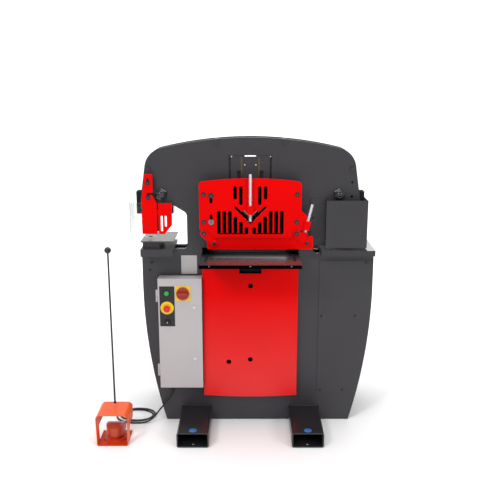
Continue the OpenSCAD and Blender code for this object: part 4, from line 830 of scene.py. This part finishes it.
class IRONWORKER_OT_control_trim(Operator):
    """Black strip, disconnect plate, stop collar and bezels on the box door, and the selector's pointer"""
    bl_idname = "ironworker.control_trim"
    bl_label = "Control trim"

    def execute(self, context):
        y = DOOR_FRONT
        block_piece("control_strip", (-0.441, y - 0.0015, 0.526), (-0.368, y + 0.0005, 0.729), 0.0007, 2,
                    "black nylon moulding", "box_door")

        low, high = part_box("disconnect_handle")
        border = 0.006
        block_piece("disconnect_plate", (low[0] - border, y - 0.0016, low[2] - border),
                    (high[0] + border, y + 0.0004, high[2] + border), 0.0008, 2,
                    "yellow collar moulding", "box_door")

        # Rings of (radius, height) points rise from within the strip, 1 mm above the door.
        foot = 0.001
        stop = middle("stop_button")
        bore, collar = 0.0095, sizes().collar_radius
        bm = bmesh.new()
        turned(bm, [(bore, foot), (bore, 0.004), (0.014, 0.0048), (collar - 0.002, 0.0048),
                    (collar, 0.003), (collar, foot), (bore, foot)], 40, on_front(stop.x, y, stop.z))
        new_piece("stop_collar", bm, "yellow collar moulding", "box_door")

        bm = bmesh.new()
        for node, inner, outer in (("start_button", 0.0118, 0.0155), ("selector_knob", 0.0132, 0.0158)):
            centre = middle(node)
            turned(bm, [(inner, foot), (inner, 0.0045), (inner + 0.0008, 0.0052), (outer - 0.001, 0.0052),
                        (outer, 0.004), (outer, foot), (inner, foot)], 36, on_front(centre.x, y, centre.z))
        new_piece("button_bezels", bm, "black nylon moulding", "box_door")

        low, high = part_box("selector_knob")
        x, half_width, stand = middle("selector_knob").x, 0.0012, 0.0004
        block_piece("selector_pointer", (x - half_width, low[1] - stand, high[2] - 0.0135),
                    (x + half_width, low[1] + stand, high[2] - 0.0055), 0.0003, 1,
                    "white pointer inlay", "selector_knob")
        return {"FINISHED"}


class IRONWORKER_OT_adjuster_nuts(Operator):
    """Hexagon nut, round locknut and stud of each guide adjuster"""
    bl_idname = "ironworker.adjuster_nuts"
    bl_label = "Guide adjuster nuts"

    def execute(self, context):
        low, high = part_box("guide_adjusters")
        radius = (high[2] - low[2]) / 2
        height = (low[2] + high[2]) / 2
        # Heights above the plate, and radii.
        nut, face, stud, shank = 0.014, 0.024, PLATE_FRONT - low[1], PLATE_FRONT - high[1]
        stud_radius, locknut_radius, shank_radius = 0.011, 0.020, 0.016
        chamfer, stud_chamfer = 0.003, 0.002
        bm = bmesh.new()
        for x in (low[0] + radius, high[0] - radius):
            place = on_front(x, PLATE_FRONT, height)
            made = bmesh.ops.create_cone(
                bm, cap_ends=True, segments=6, radius1=radius, radius2=radius, depth=nut,
                matrix=place @ Matrix.Translation((0, 0, nut / 2)))
            front = {e for v in made["verts"] for e in v.link_edges
                     if all(abs(end.co.y - (PLATE_FRONT - nut)) < 1e-5 for end in e.verts)}
            bevel(bm, front, 0.0045, 1)
            turned(bm, [(0, stud), (stud_radius - chamfer, stud), (stud_radius, stud - stud_chamfer),
                        (stud_radius, face), (locknut_radius - chamfer, face),
                        (locknut_radius, face - chamfer), (locknut_radius, nut), (0, nut)], 32, place)
            turned(bm, [(0, 0), (shank_radius, 0), (shank_radius, shank), (0, shank)], 32, place)
        nuts = new_piece("guide_adjuster_nuts", bm, "gloss black nut enamel")
        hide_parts("guide_adjusters")
        return {"FINISHED"}


class IRONWORKER_OT_tube_fittings(Operator):
    """Plugs in the access holes of the fork tubes, and weld beads where the plates meet them"""
    bl_idname = "ironworker.tube_fittings"
    bl_label = "Tube fittings"

    def execute(self, context):
        low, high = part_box("right_foot_tube")
        tube_x, half_width, tube_top = (low[0] + high[0]) / 2, (high[0] - low[0]) / 2, high[2]
        hole_inset = 0.0254
        plug = [(0, 0.0035), (0.010, 0.0033), (0.0165, 0.0024), (0.019, 0.001), (0.019, 0.0001),
                (0.0155, 0.0001), (0.0155, -0.006), (0, -0.006)]
        bm = bmesh.new()
        for x in (-tube_x, tube_x):
            for y in (low[1] + hole_inset, high[1] - hole_inset):
                turned(bm, plug, 28, Matrix.Translation((x, y, tube_top)))
        new_piece("tube_plugs", bm, "blue plug moulding")

        # Ripples of the bead lie along the top and down both sides of the tube.
        ripple, top_start, side_start = 0.004, 0.066, 0.012
        flat = Matrix.Diagonal((0.9, 1, 0.9, 1))
        bm = bmesh.new()
        for x in (-tube_x, tube_x):
            for y in (PLATE_FRONT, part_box("rear_frame_plate")[1][1]):
                places = [(x - top_start + ripple * i, y, tube_top) for i in range(34)]
                places += [(x + edge, y, side_start + ripple * i)
                           for edge in (-half_width, half_width) for i in range(14)]
                for place in places:
                    bmesh.ops.create_icosphere(bm, subdivisions=1, radius=sizes().weld_width / 2,
                                               matrix=Matrix.Translation(place) @ flat)
        new_piece("weld_beads", bm, "charcoal powder coat")
        return {"FINISHED"}


class IRONWORKER_OT_window_stops(Operator):
    """Corner stops that narrow the top of the guide window"""
    bl_idname = "ironworker.window_stops"
    bl_label = "Guide window stops"

    def execute(self, context):
        (_, front, _), (outer, back, strip_top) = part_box("guide_gibs")
        # The stops stand on the guide strips and reach the top of the window.
        low, high, inner, corner = strip_top + 0.0003, 1.354, 0.0265, 0.004
        outline = [(inner, high), (outer, high), (outer, low), (inner + corner, low), (inner, low + corner)]
        bm = bmesh.new()
        for side in (-1, 1):
            face = bm.faces.new([bm.verts.new((side * x, front, z)) for x, z in outline])
            made = bmesh.ops.extrude_face_region(bm, geom=[face])["geom"]
            bmesh.ops.translate(bm, vec=(0, back - front, 0), verts=only(bmesh.types.BMVert, made))
        bevel(bm, bm.edges, 0.0005, 1)
        new_piece("window_stops", bm, "charcoal powder coat", smooth=False)
        return {"FINISHED"}


class IRONWORKER_OT_guard_fittings(Operator):
    """Rivets that hold the clear shield to the punch guard, and the leaf that joins its wing"""
    bl_idname = "ironworker.guard_fittings"
    bl_label = "Guard fittings"

    def execute(self, context):
        (left, front, bottom), (right, back, _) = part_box("punch_guard")
        rivet = [(0, 0.0022), (0.0018, 0.002), (0.0034, 0.0012), (0.0042, 0), (0, 0)]
        bm = bmesh.new()
        for z in (1.105, 1.030):
            turned(bm, rivet, 18, on_front(left + 0.005, front, z))
        new_piece("guard_rivets", bm, "black oxide steel", "punch_guard")

        # The leaf lies behind the gap between guard and wing, with a rivet row in each; its matt black is
        # partly painted shade in the gap.
        leaf_back = back + 0.002
        first, pitch = bottom + 0.022, 0.031
        rivet = [(0, 0.0018), (0.0016, 0.0016), (0.0030, 0.0009), (0.0036, 0), (0, 0)]
        bm = bmesh.new()
        rounded_block(bm, (right - 0.011, back, bottom + 0.012),
                      (right + 0.017, leaf_back, bottom + 0.095), 0.0006)
        for x in (right - 0.006, right + 0.012):
            for i in range(3):
                turned(bm, rivet, 16, on_back(x, leaf_back, first + pitch * i))
        new_piece("wing_leaf", bm, "matt black iron and painted shade", "punch_guard", smooth=False)
        return {"FINISHED"}


class IRONWORKER_OT_rear_louvres(Operator):
    """Pressed hoods over the cooling slots of the rear cover"""
    bl_idname = "ironworker.rear_louvres"
    bl_label = "Rear louvres"

    def execute(self, context):
        # Each hood is the outer half of a lying bar, flattened a little.
        radius, width, offset, first, pitch = 0.009, 0.158, 0.130, 0.566, 0.022
        lay = Matrix.Rotation(math.radians(90), 4, "Y") @ Matrix.Diagonal((0.75, 0.8, 1, 1))
        bm = bmesh.new()
        for side in (-1, 1):
            for i in range(8):
                old = set(bm.verts)
                verts = bmesh.ops.create_cone(
                    bm, cap_ends=True, segments=20, radius1=radius, radius2=radius, depth=width)["verts"]
                edges = {e for v in verts for e in v.link_edges}
                faces = {f for v in verts for f in v.link_faces}
                cut = bmesh.ops.bisect_plane(bm, geom=verts + list(edges) + list(faces),
                                             plane_co=(0, 0, 0), plane_no=(0, 1, 0), clear_inner=True)
                bmesh.ops.contextual_create(bm, geom=only(bmesh.types.BMEdge, cut["geom_cut"]))
                set_in_place(bm, old, Matrix.Translation((side * offset, REAR_FACE, first + pitch * i)) @ lay)
        new_piece("louvre_hoods", bm, "charcoal powder coat")
        return {"FINISHED"}


class IRONWORKER_OT_treadle_ribs(Operator):
    """Grip ribs on the treadle of the foot switch"""
    bl_idname = "ironworker.treadle_ribs"
    bl_label = "Treadle ribs"

    def execute(self, context):
        low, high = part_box("treadle")
        inset, first, pitch, width, sink, stand = 0.014, 0.028, 0.0058, 0.0026, 0.001, 0.0012
        bm = bmesh.new()
        for i in range(5):
            y = low[1] + first + pitch * i
            rounded_block(bm, (low[0] + inset, y, high[2] - sink),
                          (high[0] - inset, y + width, high[2] + stand), 0.0006)
        new_piece("treadle_ribs", bm, "dark red treadle moulding", "treadle")
        return {"FINISHED"}


class IRONWORKER_PT_panel(Panel):
    """Lists the pieces of the machine's dress"""
    bl_idname = "IRONWORKER_PT_panel"
    bl_label = "Ironworker machine"
    bl_space_type = "VIEW_3D"
    bl_region_type = "UI"
    bl_category = "Ironworker"

    def draw(self, context):
        for operator in OPERATORS:
            self.layout.operator(operator.bl_idname)
        for group in (context.scene.ironworker_colours, context.scene.ironworker_sizes):
            for name in group.bl_rna.properties.keys():
                if name not in {"rna_type", "name"}:
                    self.layout.prop(group, name)


OPERATORS = (
    IRONWORKER_OT_stage,
    IRONWORKER_OT_finishes,
    IRONWORKER_OT_foot_cord,
    IRONWORKER_OT_hold_screws,
    IRONWORKER_OT_screws,
    IRONWORKER_OT_blank_plate,
    IRONWORKER_OT_groove_shade_strips,
    IRONWORKER_OT_bolt_sockets,
    IRONWORKER_OT_control_trim,
    IRONWORKER_OT_adjuster_nuts,
    IRONWORKER_OT_tube_fittings,
    IRONWORKER_OT_window_stops,
    IRONWORKER_OT_guard_fittings,
    IRONWORKER_OT_rear_louvres,
    IRONWORKER_OT_treadle_ribs,
)
CLASSES = (IronworkerColours, IronworkerSizes) + OPERATORS + (IRONWORKER_PT_panel,)


def register():
    for item in CLASSES:
        bpy.utils.register_class(item)
    bpy.types.Scene.ironworker_colours = bpy.props.PointerProperty(type=IronworkerColours)
    bpy.types.Scene.ironworker_sizes = bpy.props.PointerProperty(type=IronworkerSizes)


def unregister():
    del bpy.types.Scene.ironworker_sizes
    del bpy.types.Scene.ironworker_colours
    for item in reversed(CLASSES):
        bpy.utils.unregister_class(item)


def main():
    register()
    bpy.ops.ironworker.stage()
    bpy.ops.ironworker.finishes()
    bpy.ops.ironworker.foot_cord()
    bpy.ops.ironworker.hold_screws()
    bpy.ops.ironworker.screws()
    bpy.ops.ironworker.blank_plate()
    bpy.ops.ironworker.groove_strips()
    bpy.ops.ironworker.bolt_sockets()
    bpy.ops.ironworker.control_trim()
    bpy.ops.ironworker.adjuster_nuts()
    bpy.ops.ironworker.tube_fittings()
    bpy.ops.ironworker.window_stops()
    bpy.ops.ironworker.guard_fittings()
    bpy.ops.ironworker.rear_louvres()
    bpy.ops.ironworker.treadle_ribs()


if __name__ == "__main__":
    main()
